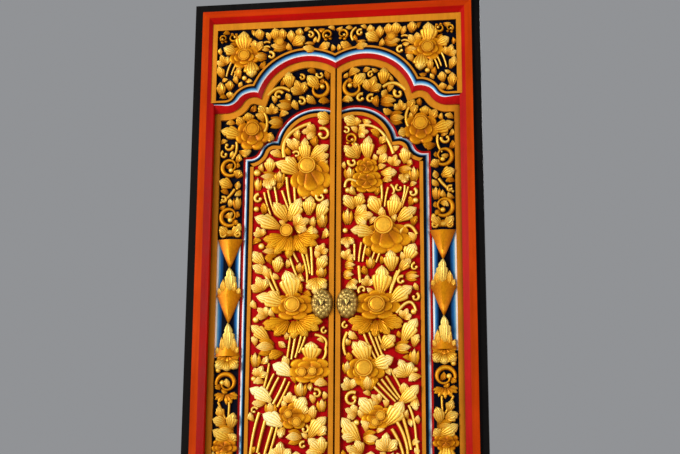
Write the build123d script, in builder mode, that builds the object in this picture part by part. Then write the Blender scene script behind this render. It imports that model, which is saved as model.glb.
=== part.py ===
from build123d import *
from math import atan2, cos, hypot, pi, radians, remainder, sin, sqrt
import os

os.makedirs("parts", exist_ok=True)

# Carved double-leaf temple door with its frame.
# X runs across the door, Z is up, the carved front looks along -Y and the leaves open towards +Y.
# The origin is the middle of the sill's underside, on the front plane of the closed leaves.

# Frame
frame_width = 1060.0
frame_height = 2195.0
casing_face = 30.0          # black casing showing outside the moulding
casing_front = -30.0
frame_back = 56.0
post_width = 63.0           # from the frame's side to the rebate that a leaf closes into
head_height = 62.0
sill_height = 70.0
sill_stop_height = 84.0
sill_front = -46.0
sill_nosing = 10.0

# Moulding planted on the casing
moulding_width = 48.0
moulding_flat = 25.0
moulding_front = -40.0
moulding_edge_y = -26.0     # depth of the bevel's inner edge
stop_back = -2.0            # back of the moulding and the transom, in front of the leaves

# Transom board and its cusped arch
transom_housing = 10.0      # how far the board is let into the jamb mouldings
transom_front = -30.0
transom_side_rim = 18.0
transom_top_rim = 25.0
transom_arch_rim = 8.0
transom_ground_y = -20.0
transom_recess_y = -14.0
cove_width = 18.0
cove_back = -16.0
bevel_width = 16.0
bevel_back = -4.0
arch_spring_z = 1790.0
lobe_x = 105.0
lobe_r = 192.0
shoulder_x = 307.0
shoulder_r = 60.0
arch_foot_x = 410.0
lobe_chords = 10            # the arches' sloping edges are cut into flat facets
shoulder_chords = 5
tail_chords = 4

# Leaves
leaf_gap = 3.5              # half of the gap where the leaves meet
leaf_thickness = 52.0
heel_gap = 3.0              # between a leaf's rounded heel and the post
leaf_foot_gap = 3.0
leaf_head_gap = 3.0
meeting_strip_x = 20.0
outer_strip = 33.0
border_width = 93.0
border_arch_drop = 40.0     # how far the recess starts under the transom's arch
recess_bottom_z = 136.0
recess_y = 20.0
border_ground_y = 12.0
border_bevel = 8.0

# Raised panel in each leaf
panel_foot_z = 1603.0
panel_bottom_z = 224.0
panel_lobe_x = 70.0
panel_lobe_z = 1630.0
panel_lobe_r = 157.0
panel_shoulder_x = 228.0
panel_shoulder_z = 1612.0
panel_shoulder_r = 57.0
panel_foot_x = 318.0
panel_cove = 17.0
panel_rim = 18.0
panel_rim_y = 6.0
panel_ground_y = 12.0
panel_inner_rim = 4.0

# Pivots
pivot_r = 10.0
pivot_clearance = 0.05
pivot_in_leaf = 60.0
tang_side = 18.0            # square tang of the pin in the leaf
socket_wall = 4.0           # the socket is a square block round the pin
socket_depth = 22.0
socket_floor = 5.0
pivot_end_gap = 0.3

# Pull bosses
pull_x = 45.0
pull_z = 1057.0
pull_half_width = 39.0
pull_half_height = 54.0
pull_sides = 18
pull_steps = ((1.0, 0.0), (0.94, 7.0), (0.76, 20.0), (0.4, 28.0))   # share of the oval, height
pull_pad = 4.0
stud_r = 5.0
stud_clearance = 0.2
stud_tail = 2.0
nut_across = 20.0
nut_height = 8.0
washer_side = 30.0
washer_height = 2.5
thread_clearance = 0.05

# Ledges across the back of each leaf
ledge_inner_x = 26.0
ledge_heel = 40.0           # from the pivot to the ledge's outer end
ledge_height = 90.0
ledge_thickness = 18.0
ledge_chamfer = 4.0
lower_ledge_z = 330.0
upper_ledge_z = 1790.0

# Draw bar and its keeps
bar_z = 1200.0
bar_height = 50.0
bar_thickness = 24.0
bar_chamfer = 3.0
bar_clearance = 0.4
bar_outer_end = 390.0
bar_inner_end = 12.0
keep_width = 40.0
keep_wall = 16.0
outer_keep_x = 225.0
inner_keep_x = 80.0
peg_x = 374.0
peg_r = 8.0
peg_sides = 8
peg_length = 28.0
peg_depth = 14.0

# Holes that fasten the jambs to the masonry
fixing_r = 5.5
fixing_heights = (400.0, 1800.0)

# Carved elements
ground_bite = 1.0           # how far each element is sunk into the ground
petal_share = 0.55          # rise of a petal as a share of its width
petal_least = 10.0
petal_most = 21.0
petal_base = 0.26           # half-width of a petal's base as a share of its width
petal_belly = 0.55          # where it is widest
petal_heel = 0.5            # rise of its base as a share of its own
petal_nib = 0.1             # how far from its tip the midrib drops
petal_nib_rise = 0.55
bowl_rise = 14.0
bowl_top = 0.66
disc_rise = 23.0
bead_rise = 15.0
stem_rise = 9.0
straight_stem = 6.0         # a stem that bends less than this is straight
curl_rise = 13.0
ring_rise = 12.0
relief_front = -60.0        # in front of all the carving
lower_lift = 16.0           # the right border's lower ornaments sit this much higher

half_width = frame_width / 2
post_inner = half_width - post_width
head_rebate_z = frame_height - head_height
leaf_back = leaf_thickness
pivot_y = leaf_thickness / 2
heel_r = leaf_thickness / 2
pivot_x = post_inner - heel_gap - heel_r
border_outer_x = pivot_x + heel_r - outer_strip
panel_outer_x = border_outer_x - border_width
drawn_panel_x = 338.0       # outer side of the panel that the layouts are drawn for
moulding_outer_x = half_width - casing_face
moulding_inner_x = moulding_outer_x - moulding_width
transom_half_width = moulding_inner_x + transom_housing
moulding_top_z = frame_height - casing_face
transom_top_z = moulding_top_z - moulding_width
transom_foot_z = arch_spring_z - bevel_width
housing_z = arch_spring_z + cove_width
leaf_bottom = sill_height + leaf_foot_gap
leaf_top = head_rebate_z - leaf_head_gap
pin_r = pivot_r - pivot_clearance
socket_side = 2 * (pivot_r + socket_wall)
bar_y = leaf_back + bar_clearance
keep_depth = bar_thickness + 2 * bar_clearance + keep_wall
keep_height = bar_height + 2 * bar_clearance + 2 * keep_wall


def front(y):
    """Plane that faces the front at depth y: its x is the door's X, its y the door's Z."""
    return Plane(origin=(0, y, 0), x_dir=(1, 0, 0), z_dir=(0, -1, 0))


def meet(c1, r1, c2, r2):
    """Upper crossing of two circles."""
    dx, dz = c2[0] - c1[0], c2[1] - c1[1]
    d = hypot(dx, dz)
    along = (d * d + r1 * r1 - r2 * r2) / (2 * d)
    high = sqrt(r1 * r1 - along * along)
    return (c1[0] + (dx * along - dz * high) / d, c1[1] + (dz * along + dx * high) / d)


def on_circle(centre, r, towards):
    """Point of a circle in the direction of another point."""
    d = hypot(towards[0] - centre[0], towards[1] - centre[1])
    return (centre[0] + r * (towards[0] - centre[0]) / d, centre[1] + r * (towards[1] - centre[1]) / d)


def through(centre, r, start, end):
    """Start, middle and end of an arc."""
    middle = on_circle(centre, r, ((start[0] + end[0]) / 2, (start[1] + end[1]) / 2))
    return (start, middle, end)


def chords(centre, r, start, end, count):
    """Corners along an arc cut into chords, without its end."""
    first = atan2(start[1] - centre[1], start[0] - centre[0])
    turn = remainder(atan2(end[1] - centre[1], end[0] - centre[0]) - first, 2 * pi)
    angles = [first + turn * i / count for i in range(count)]
    return [(centre[0] + r * cos(a), centre[1] + r * sin(a)) for a in angles]


class Arch:
    """Half of a cusped arch: a lobe, a shoulder, and a hollow tail that runs out level."""

    def __init__(self, lobe, lobe_r, shoulder, shoulder_r, foot_x, base_z):
        self.lobe = lobe
        self.lobe_r = lobe_r
        self.shoulder = shoulder
        self.shoulder_r = shoulder_r
        dx, dz = foot_x - shoulder[0], base_z - shoulder[1]
        self.tail_r = (dx * dx + dz * dz - shoulder_r * shoulder_r) / (2 * (shoulder_r - dz))
        self.tail = (foot_x, base_z + self.tail_r)

    def opening(self, drop, inner_x, outer_x, bottom_z, side, pointed=False):
        """Face under the arch moved inwards by drop; a pointed one keeps its cusp at any drop."""
        lobe_r, shoulder_r, tail_r = self.lobe_r - drop, self.shoulder_r - drop, self.tail_r + drop
        top = (inner_x, self.lobe[1] + sqrt(lobe_r ** 2 - (inner_x - self.lobe[0]) ** 2))
        cusp = meet(self.lobe, self.lobe_r, self.shoulder, self.shoulder_r)
        run = []
        if pointed:
            lobe_end = on_circle(self.lobe, lobe_r, cusp)
            shoulder_start = on_circle(self.shoulder, shoulder_r, cusp)
            a = on_circle((0, 0), 1, (cusp[0] - self.lobe[0], cusp[1] - self.lobe[1]))
            b = on_circle((0, 0), 1, (cusp[0] - self.shoulder[0], cusp[1] - self.shoulder[1]))
            scale = drop / (1 + a[0] * b[0] + a[1] * b[1])
            corner = (cusp[0] - scale * (a[0] + b[0]), cusp[1] - scale * (a[1] + b[1]))
            run = [lobe_end, corner, shoulder_start]
        else:
            lobe_end = shoulder_start = meet(self.lobe, lobe_r, self.shoulder, shoulder_r)
        turn = on_circle(self.shoulder, shoulder_r, self.tail)
        foot_x = min(outer_x, self.tail[0])
        foot = (foot_x, self.tail[1] - sqrt(tail_r ** 2 - (foot_x - self.tail[0]) ** 2))
        ends = [foot, (outer_x, foot[1]), (outer_x, bottom_z), (inner_x, bottom_z), top]
        if foot_x == outer_x:
            ends.pop(1)
        arcs = [
            through(self.lobe, lobe_r, top, lobe_end),
            through(self.shoulder, shoulder_r, shoulder_start, turn),
            through(self.tail, tail_r, turn, foot),
        ]
        with BuildSketch(mode=Mode.PRIVATE) as face:
            with BuildLine():
                for arc in arcs:
                    ThreePointArc(*[(side * x, z) for x, z in arc])
                if run:
                    Polyline([(side * x, z) for x, z in run])
                Polyline([(side * x, z) for x, z in ends])
            make_face()
        return face.sketch_local

    def corners(self, drop, inner_x, outer_x, bottom_z):
        """Corners of the opening under the arch moved inwards by drop, its arcs cut into chords."""
        lobe_r, shoulder_r, tail_r = self.lobe_r - drop, self.shoulder_r - drop, self.tail_r + drop
        top = (inner_x, self.lobe[1] + sqrt(lobe_r ** 2 - (inner_x - self.lobe[0]) ** 2))
        cusp = meet(self.lobe, lobe_r, self.shoulder, shoulder_r)
        turn = on_circle(self.shoulder, shoulder_r, self.tail)
        foot = (self.tail[0], self.tail[1] - tail_r)
        points = chords(self.lobe, lobe_r, top, cusp, lobe_chords)
        points += chords(self.shoulder, shoulder_r, cusp, turn, shoulder_chords)
        points += chords(self.tail, tail_r, turn, foot, tail_chords)
        return points + [foot, (outer_x, foot[1]), (outer_x, bottom_z), (inner_x, bottom_z)]

    def flared(self, side, inner_x, sections):
        """Solid under the arch whose outline changes with depth: rows of y, drop, outer x, bottom z."""
        corners = []
        for y, drop, outer_x, bottom_z in sections:
            corners += [(side * x, z, -y) for x, z in self.corners(drop, inner_x, outer_x, bottom_z)]
        count = len(corners) // len(sections)
        last = len(corners) - count
        faces = [range(count), range(last, last + count)]
        for row in range(0, last, count):
            for i in range(count):
                a, b = row + i, row + (i + 1) % count
                faces += [(a, b, b + count), (a, b + count, a + count)]
        return faceted(corners, faces)

    def straight(self, side, drop, inner_x, outer_x, bottom_z, back, face):
        """Solid under the arch of one outline between two depths."""
        with BuildPart(mode=Mode.PRIVATE) as body:
            with BuildSketch(front(back)):
                add(self.opening(drop, inner_x, outer_x, bottom_z, side, pointed=drop > 0))
            extrude(amount=back - face)
        return body.part


door_arch = Arch(
    (lobe_x, arch_spring_z), lobe_r, (shoulder_x, arch_spring_z), shoulder_r, arch_foot_x, arch_spring_z,
)
panel_arch = Arch(
    (panel_lobe_x, panel_lobe_z), panel_lobe_r, (panel_shoulder_x, panel_shoulder_z), panel_shoulder_r,
    panel_foot_x, panel_foot_z,
)


def moulding_section(plane, reach):
    """Section of the planted moulding, its outer side on the plane's origin; reach is its direction."""
    with BuildSketch(plane, mode=Mode.PRIVATE) as section:
        with BuildLine():
            Polyline(
                (0, moulding_front), (reach * moulding_flat, moulding_front),
                (reach * moulding_width, moulding_edge_y), (reach * moulding_width, stop_back),
                (0, stop_back), close=True,
            )
        make_face()
    return section.sketch


def write(part, name):
    """Label a finished piece and write it under its name."""
    part.label = name
    export_step(part, f"parts/{name}.step")


def beside(base, tip, along, across):
    """Point at a share of the way from base to tip, moved sideways."""
    dx, dz = tip[0] - base[0], tip[1] - base[1]
    d = hypot(dx, dz)
    return (base[0] + dx * along - dz / d * across, base[1] + dz * along + dx / d * across)


def block(points, ground, rise):
    """Block on a polygon."""
    with BuildPart(mode=Mode.PRIVATE) as piece:
        with BuildSketch(front(ground + ground_bite)):
            with BuildLine():
                Polyline(points, close=True)
            make_face()
        extrude(amount=rise + ground_bite)
    return piece.part


def faceted(corners, sides):
    """Solid with flat faces; corners are (x, z, height over the ground plane), sides list their corners."""
    points = [Vector(x, -height, z) for x, z, height in corners]
    return Solid(Shell([Face(Wire.make_polygon([points[i] for i in side])) for side in sides]))


def mound(outline, top, ground, rise):
    """Frustum between two polygons of as many corners."""
    n = len(outline)
    low, high = -ground - ground_bite, -ground + rise
    corners = [(x, z, low) for x, z in outline] + [(x, z, high) for x, z in top]
    sides = [range(n), range(n, 2 * n)] + [(i, (i + 1) % n, n + (i + 1) % n, n + i) for i in range(n)]
    return faceted(corners, sides)


def oval(side, u, z, ru, rz, sides):
    """Corners of an oval polygon."""
    turns = [2 * 180 / sides * i for i in range(sides)]
    return [(side * (u + ru * cos(radians(a))), z + rz * sin(radians(a))) for a in turns]


def dome(side, u, z, ru, rz, sides, steps):
    """Oval boss on the leaf's front plane, in steps of a share of its size and a height."""
    corners = []
    for share, height in steps:
        corners += [(x, y, height) for x, y in oval(side, u, z, ru * share, rz * share, sides)]
    last = len(corners) - sides
    faces = [range(sides), range(last, last + sides)]
    for row in range(0, last, sides):
        for i in range(sides):
            j = (i + 1) % sides
            faces.append((row + i, row + j, row + sides + j, row + sides + i))
    return faceted(corners, faces)


def petal(side, ground, bu, bz, tu, tz, width):
    """Pointed petal from its base to its tip, with a raised midrib."""
    base, tip = (side * bu, bz), (side * tu, tz)
    low = -ground - ground_bite
    rise = min(petal_most, max(petal_least, petal_share * width))
    outline = [
        beside(base, tip, 0, petal_base * width), beside(base, tip, petal_belly, width / 2), tip,
        beside(base, tip, petal_belly, -width / 2), beside(base, tip, 0, -petal_base * width),
    ]
    corners = [(x, z, low) for x, z in outline]
    corners += [(*base, -ground + petal_heel * rise), (*beside(base, tip, petal_belly, 0), -ground + rise)]
    corners += [(*beside(base, tip, 1 - petal_nib, 0), -ground + petal_nib_rise * rise)]
    sides = [range(5), (0, 1, 6), (0, 6, 5), (1, 2, 7), (1, 7, 6), (2, 3, 7), (3, 6, 7), (3, 4, 6), (4, 5, 6)]
    sides.append((4, 0, 5))
    return faceted(corners, sides)


def bowl(side, ground, u, z, ru, rz):
    """Domed flower cup."""
    sides = 6 if max(ru, rz) < 50 else 8
    top = oval(side, u, z, bowl_top * ru, bowl_top * rz, sides)
    return mound(oval(side, u, z, ru, rz, sides), top, ground, bowl_rise)


def disc(side, ground, u, z, r):
    """Flat flower heart."""
    return block(oval(side, u, z, r, r, 8), ground, disc_rise)


def bead(side, ground, u, z, r):
    """Ball at the end of a curl."""
    top = oval(side, u, z, bowl_top * r, bowl_top * r, 6)
    return mound(oval(side, u, z, r, r, 6), top, ground, bead_rise)


def ribbon(centre, widths, ground, rise):
    """Band of changing width along a centre line."""
    left, right = [], []
    for i, (x, z) in enumerate(centre):
        before, after = centre[max(i - 1, 0)], centre[min(i + 1, len(centre) - 1)]
        dx, dz = after[0] - before[0], after[1] - before[1]
        half = widths[i] / 2 / hypot(dx, dz)
        left.append((x - dz * half, z + dx * half))
        right.append((x + dz * half, z - dx * half))
    return block(left + right[::-1], ground, rise)


def stem(side, ground, u0, z0, um, zm, u1, z1, width):
    """Stem through three points, straight where they nearly line up."""
    start, middle, end = (side * u0, z0), (side * um, zm), (side * u1, z1)
    bend = abs((end[0] - start[0]) * (middle[1] - start[1]) - (end[1] - start[1]) * (middle[0] - start[0]))
    if bend / hypot(end[0] - start[0], end[1] - start[1]) < straight_stem:
        return ribbon([start, end], [width] * 2, ground, stem_rise)
    return ribbon([start, middle, end], [width] * 3, ground, stem_rise)


def curl(side, ground, u, z, r, start, sweep, width):
    """Spiral hook; its angles run from outwards to up."""
    steps = round(abs(sweep) / 70)
    centre, widths = [], []
    for i in range(steps + 1):
        t = i / steps
        angle = radians(start + sweep * t)
        reach = r * (1 - 0.55 * t)
        centre.append((side * (u + reach * cos(angle)), z + reach * sin(angle)))
        widths.append(width * (1 - 0.3 * t))
    return ribbon(centre, widths, ground, curl_rise)


def ring(side, ground, u, z, r, hole_u, hole_z, hole_r):
    """Round disc with a hole off its middle."""
    with BuildPart(mode=Mode.PRIVATE) as piece:
        add(block(oval(side, u, z, r, r, 8), ground, ring_rise))
        add(block(oval(side, hole_u, hole_z, hole_r, hole_r, 5), ground, ring_rise + 2), mode=Mode.SUBTRACT)
    return piece.part


MAKERS = {"petal": petal, "bowl": bowl, "disc": disc, "bead": bead, "stem": stem, "curl": curl, "ring": ring}
PLACES = {"petal": (0, 2), "stem": (0, 2, 4), "ring": (0, 3)}   # where a row holds distances from the middle


def carved(side, ground, rows, stretch=1.0, shift=0.0, lift=0.0):
    """All the elements of a layout, their places spread outwards and moved outwards and up."""
    pieces = []
    for kind, *sizes in rows:
        for i in PLACES.get(kind, (0,)):
            sizes[i] = sizes[i] * stretch + shift
            sizes[i + 1] += lift
        pieces.append(MAKERS[kind](side, ground, *sizes))
    return pieces

LEFT_PANEL = [
    # Crest under the panel's arch
    ("stem", 190, 1600, 178, 1680, 93, 1727, 13), ("curl", 48, 1682, 32, 60, 300, 10),
    # Open flower with a bead below
    ("bowl", 90, 1520, 66, 66), ("petal", 108, 1598, 113, 1670, 36), ("petal", 80, 1600, 26, 1640, 36),
    ("petal", 150, 1545, 221, 1580, 44), ("disc", 104, 1565, 28),
    # Small flower
    ("bowl", 245, 1530, 30, 22),
    # Stems between
    ("stem", 196, 1475, 184, 1440, 163, 1385, 8), ("stem", 180, 1525, 172, 1460, 158, 1400, 9),
    # Second flower
    ("bowl", 160, 1290, 100, 55), ("petal", 185, 1375, 225, 1430, 40), ("petal", 160, 1380, 126, 1443, 42),
    ("petal", 95, 1395, 88, 1449, 40), ("petal", 55, 1375, 27, 1436, 36),
    ("petal", 220, 1345, 294, 1377, 44), ("bowl", 47, 1360, 20, 30), ("disc", 176, 1325, 20),
    ("bowl", 232, 1250, 30, 24),
    # Leaves and gathered stems
    ("stem", 258, 1174, 230, 1125, 203, 1074, 9), ("stem", 173, 1254, 149, 1186, 128, 1135, 8),
    ("stem", 126, 1260, 104, 1186, 101, 1135, 8), ("stem", 88, 1266, 84, 1210, 82, 1161, 8),
    # Third flower
    ("bowl", 150, 1050, 68, 44), ("bowl", 150, 985, 105, 42), ("petal", 158, 1098, 176, 1178, 60),
    ("petal", 195, 1062, 282, 1087, 46), ("disc", 152, 1056, 25), ("petal", 248, 940, 298, 983, 36),
    ("stem", 152, 985, 160, 925, 168, 865, 8), ("stem", 132, 985, 143, 925, 153, 862, 8),
    ("stem", 95, 980, 108, 930, 126, 885, 8), ("bowl", 245, 905, 34, 32), ("bowl", 282, 860, 18, 28),
    # Fourth flower
    ("bowl", 88, 825, 66, 42), ("petal", 165, 815, 218, 844, 42), ("petal", 85, 870, 82, 923, 56),
    ("stem", 70, 948, 34, 932, 32, 900, 9), ("stem", 32, 900, 34, 872, 55, 850, 9), ("disc", 114, 817, 14),
    ("disc", 77, 820, 13), ("bowl", 118, 755, 25, 28), ("curl", 62, 742, 22, 60, 300, 9),
    ("stem", 251, 757, 240, 800, 232, 848, 8), ("stem", 232, 729, 215, 765, 197, 800, 8),
    ("stem", 200, 697, 178, 740, 158, 784, 8),
    # Fifth flower
    ("bowl", 140, 665, 52, 40), ("petal", 238, 725, 298, 761, 40), ("petal", 195, 640, 250, 672, 44),
    ("disc", 160, 672, 12), ("disc", 130, 645, 14), ("petal", 130, 690, 101, 729, 44),
    ("bowl", 138, 592, 30, 28), ("petal", 75, 605, 28, 662, 40), ("stem", 264, 678, 280, 620, 290, 560, 9),
    ("stem", 216, 627, 230, 580, 242, 535, 10),
    # Lowest flower and the leafy root
    ("bowl", 120, 420, 74, 46), ("disc", 122, 440, 24), ("petal", 125, 475, 130, 545, 56),
    ("petal", 80, 465, 40, 520, 42), ("petal", 170, 455, 225, 500, 44),
    ("stem", 290, 560, 282, 440, 222, 330, 9), ("stem", 262, 540, 248, 430, 200, 330, 9),
    ("stem", 130, 380, 148, 330, 160, 285, 10), ("stem", 60, 350, 110, 330, 150, 285, 9),
    ("petal", 168, 300, 172, 385, 40), ("petal", 190, 295, 262, 350, 44), ("petal", 135, 295, 72, 345, 44),
    ("petal", 205, 280, 290, 290, 36), ("petal", 120, 280, 40, 290, 36),
]
RIGHT_PANEL = [
    # Crest under the panel's arch
    ("petal", 70, 1722, 30, 1740, 36), ("stem", 210, 1600, 160, 1690, 85, 1710, 10),
    ("ring", 54, 1662, 26, 54, 1662, 12),
    # Cup with a bead below
    ("bowl", 113, 1500, 50, 38), ("petal", 118, 1600, 122, 1668, 40), ("bowl", 113, 1552, 36, 32),
    ("stem", 75, 1500, 45, 1507, 34, 1480, 10),
    # Small flower
    ("bowl", 282, 1520, 18, 30),
    # Stems between
    ("stem", 200, 1485, 212, 1465, 205, 1450, 8), ("stem", 165, 1490, 168, 1450, 165, 1420, 8),
    # Second flower
    ("bowl", 185, 1290, 75, 52), ("petal", 150, 1395, 125, 1443, 44), ("petal", 205, 1385, 216, 1449, 44),
    ("petal", 238, 1360, 291, 1396, 40), ("bowl", 44, 1370, 18, 32), ("disc", 174, 1336, 30),
    ("petal", 125, 1310, 56, 1321, 40), ("stem", 230, 1305, 262, 1333, 292, 1300, 12),
    # Leaves and gathered stems
    ("petal", 262, 1218, 286, 1265, 42), ("petal", 200, 1185, 197, 1244, 44),
    ("stem", 235, 1183, 210, 1130, 193, 1080, 9), ("stem", 85, 1190, 88, 1150, 90, 1130, 10),
    # Third flower
    ("bowl", 150, 1050, 72, 46), ("bowl", 145, 985, 95, 40), ("petal", 160, 1105, 168, 1190, 56),
    ("petal", 212, 1070, 274, 1113, 44), ("disc", 149, 1052, 26),
    ("stem", 218, 1020, 262, 1058, 286, 1026, 10), ("petal", 250, 935, 290, 999, 42),
    ("stem", 92, 980, 115, 920, 148, 856, 8), ("stem", 128, 985, 150, 920, 170, 868, 8),
    ("stem", 142, 980, 160, 930, 178, 890, 8), ("stem", 45, 955, 32, 915, 40, 875, 10),
    ("petal", 175, 905, 213, 940, 40), ("bowl", 238, 900, 30, 26), ("bowl", 280, 865, 18, 30),
    # Fourth flower
    ("bowl", 110, 820, 58, 46), ("petal", 95, 865, 66, 921, 40), ("petal", 108, 865, 88, 925, 50),
    ("petal", 148, 845, 206, 864, 44), ("disc", 104, 830, 28), ("bowl", 115, 775, 28, 28),
    ("curl", 62, 722, 32, 60, 330, 10), ("stem", 139, 764, 165, 738, 190, 713, 8),
    ("stem", 165, 790, 192, 755, 222, 720, 8), ("stem", 197, 825, 214, 792, 232, 758, 8),
    # Fifth flower
    ("bowl", 150, 660, 48, 36), ("petal", 240, 720, 293, 768, 40), ("petal", 190, 650, 240, 712, 50),
    ("petal", 125, 680, 88, 726, 44), ("disc", 162, 665, 14), ("disc", 142, 643, 12),
    ("bowl", 125, 590, 28, 26), ("petal", 75, 595, 28, 659, 44), ("stem", 200, 620, 225, 575, 238, 535, 10),
    ("stem", 238, 660, 255, 600, 265, 550, 10), ("stem", 258, 700, 275, 650, 282, 590, 8),
    # Lowest flower and the leafy root
    ("bowl", 120, 420, 74, 46), ("disc", 122, 440, 24), ("petal", 125, 475, 130, 545, 56),
    ("petal", 80, 465, 40, 520, 42), ("petal", 170, 455, 205, 540, 40),
    ("stem", 282, 590, 282, 440, 222, 330, 9), ("stem", 253, 550, 244, 430, 200, 330, 9),
    ("stem", 130, 380, 148, 330, 160, 285, 10), ("stem", 60, 350, 110, 330, 150, 285, 9),
    ("petal", 168, 300, 172, 385, 40), ("petal", 190, 295, 262, 350, 44), ("petal", 135, 295, 72, 345, 44),
    ("petal", 205, 280, 290, 290, 36), ("petal", 120, 280, 40, 290, 36),
]
BORDER_TOP = [
    # Band over the panel's arch
    ("petal", 173, 1880, 177, 1928, 36), ("ring", 62, 1858, 40, 62, 1850, 16),
    ("petal", 75, 1870, 107, 1908, 36), ("curl", 128, 1905, 17, 60, 300, 8),
    ("stem", 255, 1840, 215, 1868, 172, 1855, 12), ("bowl", 190, 1800, 30, 24),
    ("curl", 128, 1812, 22, 60, 300, 9), ("petal", 262, 1765, 288, 1800, 28), ("bowl", 222, 1735, 28, 26),
    ("stem", 265, 1700, 256, 1740, 272, 1780, 10),
    # Corner flower
    ("bowl", 310, 1690, 55, 52), ("disc", 309, 1711, 24), ("petal", 325, 1740, 328, 1774, 34),
    ("petal", 345, 1725, 368, 1758, 30), ("petal", 365, 1690, 428, 1709, 40),
    ("petal", 262, 1680, 228, 1675, 30), ("curl", 400, 1650, 24, 170, 230, 9),
    ("stem", 370, 1665, 370, 1630, 385, 1600, 8),
]
BORDER_STRIP = [
    ("ring", 394, 1556, 36, 404, 1559, 12), ("petal", 370, 1530, 356, 1552, 34),
    ("petal", 395, 1502, 429, 1508, 36), ("stem", 372, 1480, 396, 1450, 424, 1430, 9),
    ("bowl", 366, 1430, 18, 34), ("ring", 388, 1372, 42, 402, 1378, 14),
    # Crown and the hanging lozenge
    ("bowl", 383, 1312, 26, 18), ("petal", 383, 1300, 383, 1186, 84), ("petal", 383, 1005, 383, 1190, 88),
    ("petal", 383, 1180, 383, 1000, 80), ("petal", 383, 870, 383, 992, 84), ("bowl", 383, 855, 42, 42),
    ("ring", 384, 786, 40, 372, 798, 11),
    # Lower flower
    ("bowl", 385, 735, 42, 26), ("stem", 412, 715, 395, 680, 383, 655, 7),
    ("petal", 380, 640, 428, 655, 32), ("petal", 366, 620, 354, 678, 32), ("bowl", 385, 565, 40, 30),
    ("petal", 375, 590, 426, 618, 38), ("petal", 384, 540, 384, 440, 70),
    ("ring", 388, 400, 40, 400, 405, 12), ("bowl", 384, 330, 40, 26), ("petal", 384, 330, 384, 250, 60),
]
BORDER_FOOT = [
    ("petal", 384, 225, 384, 150, 60), ("bowl", 384, 235, 36, 20), ("petal", 340, 180, 250, 180, 44),
    ("petal", 240, 180, 150, 180, 44), ("petal", 140, 180, 40, 180, 44),
]
TRANSOM = [
    # Middle
    ("ring", 28, 2056, 24, 28, 2056, 10), ("stem", 66, 2030, 60, 2058, 78, 2080, 8),
    ("curl", 92, 2058, 18, 60, 300, 8), ("bowl", 95, 2025, 20, 8), ("petal", 150, 2030, 113, 2050, 36),
    # Second flower
    ("bowl", 208, 2022, 32, 26), ("petal", 222, 2045, 226, 2089, 34), ("petal", 196, 2045, 198, 2086, 30),
    ("disc", 207, 2033, 14), ("petal", 280, 2050, 286, 2090, 30),
    # Great flower
    ("bowl", 340, 1985, 50, 42), ("petal", 340, 2018, 343, 2083, 50), ("petal", 372, 2000, 418, 2020, 34),
    ("bowl", 277, 1982, 24, 20), ("petal", 316, 1955, 310, 1903, 46), ("disc", 340, 1988, 19),
    # Corner
    ("ring", 421, 2060, 19, 421, 2060, 8), ("ring", 384, 2062, 22, 386, 2056, 8),
    ("stem", 390, 1965, 400, 1940, 407, 1910, 6), ("stem", 360, 1950, 370, 1930, 378, 1905, 6),
    ("petal", 424, 1835, 427, 1887, 28),
]

# Jambs
for name, side in (("left", -1), ("right", 1)):
    with BuildPart() as jamb:
        with BuildSketch(Plane.XY.offset(sill_height)):
            with BuildLine():
                Polyline(
                    (side * post_inner, stop_back), (side * half_width, stop_back),
                    (side * half_width, frame_back), (side * post_inner, frame_back), close=True,
                )
            make_face()
        extrude(amount=head_rebate_z - sill_height)
        with BuildSketch(Plane.XY.offset(sill_stop_height)):
            with BuildLine():
                Polyline(
                    (side * moulding_outer_x, casing_front), (side * half_width, casing_front),
                    (side * half_width, stop_back), (side * moulding_outer_x, stop_back), close=True,
                )
            make_face()
        extrude(amount=moulding_top_z - sill_stop_height)
        with BuildSketch(Plane(origin=(side * post_inner, 0, 0), x_dir=(0, 1, 0), z_dir=(1, 0, 0))):
            with Locations(*[((stop_back + frame_back) / 2, z) for z in fixing_heights]):
                Circle(fixing_r)
        extrude(amount=half_width - post_inner, both=True, mode=Mode.SUBTRACT)
    write(jamb.part, f"{name}_jamb")

with BuildPart() as head:
    with BuildSketch(Plane.YZ):
        with BuildLine():
            Polyline(
                (casing_front, moulding_top_z), (casing_front, frame_height), (frame_back, frame_height),
                (frame_back, head_rebate_z), (stop_back, head_rebate_z), (stop_back, moulding_top_z),
                close=True,
            )
        make_face()
    extrude(amount=half_width, both=True)
    with Locations((-pivot_x, pivot_y, head_rebate_z), (pivot_x, pivot_y, head_rebate_z)):
        Box(
            socket_side, socket_side, socket_depth, mode=Mode.SUBTRACT,
            align=(Align.CENTER, Align.CENTER, Align.MIN),
        )
write(head.part, "head")

with BuildPart() as sill:
    with BuildSketch(Plane.YZ):
        with BuildLine():
            Polyline(
                (sill_front, 0), (frame_back, 0), (frame_back, sill_height), (stop_back, sill_height),
                (stop_back, sill_stop_height), (sill_front + sill_nosing, sill_stop_height),
                (sill_front, sill_stop_height - sill_nosing), close=True,
            )
        make_face()
    extrude(amount=half_width, both=True)
    with Locations((-pivot_x, pivot_y, sill_height), (pivot_x, pivot_y, sill_height)):
        Box(
            socket_side, socket_side, socket_depth, mode=Mode.SUBTRACT,
            align=(Align.CENTER, Align.CENTER, Align.MAX),
        )
write(sill.part, "sill")

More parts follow.
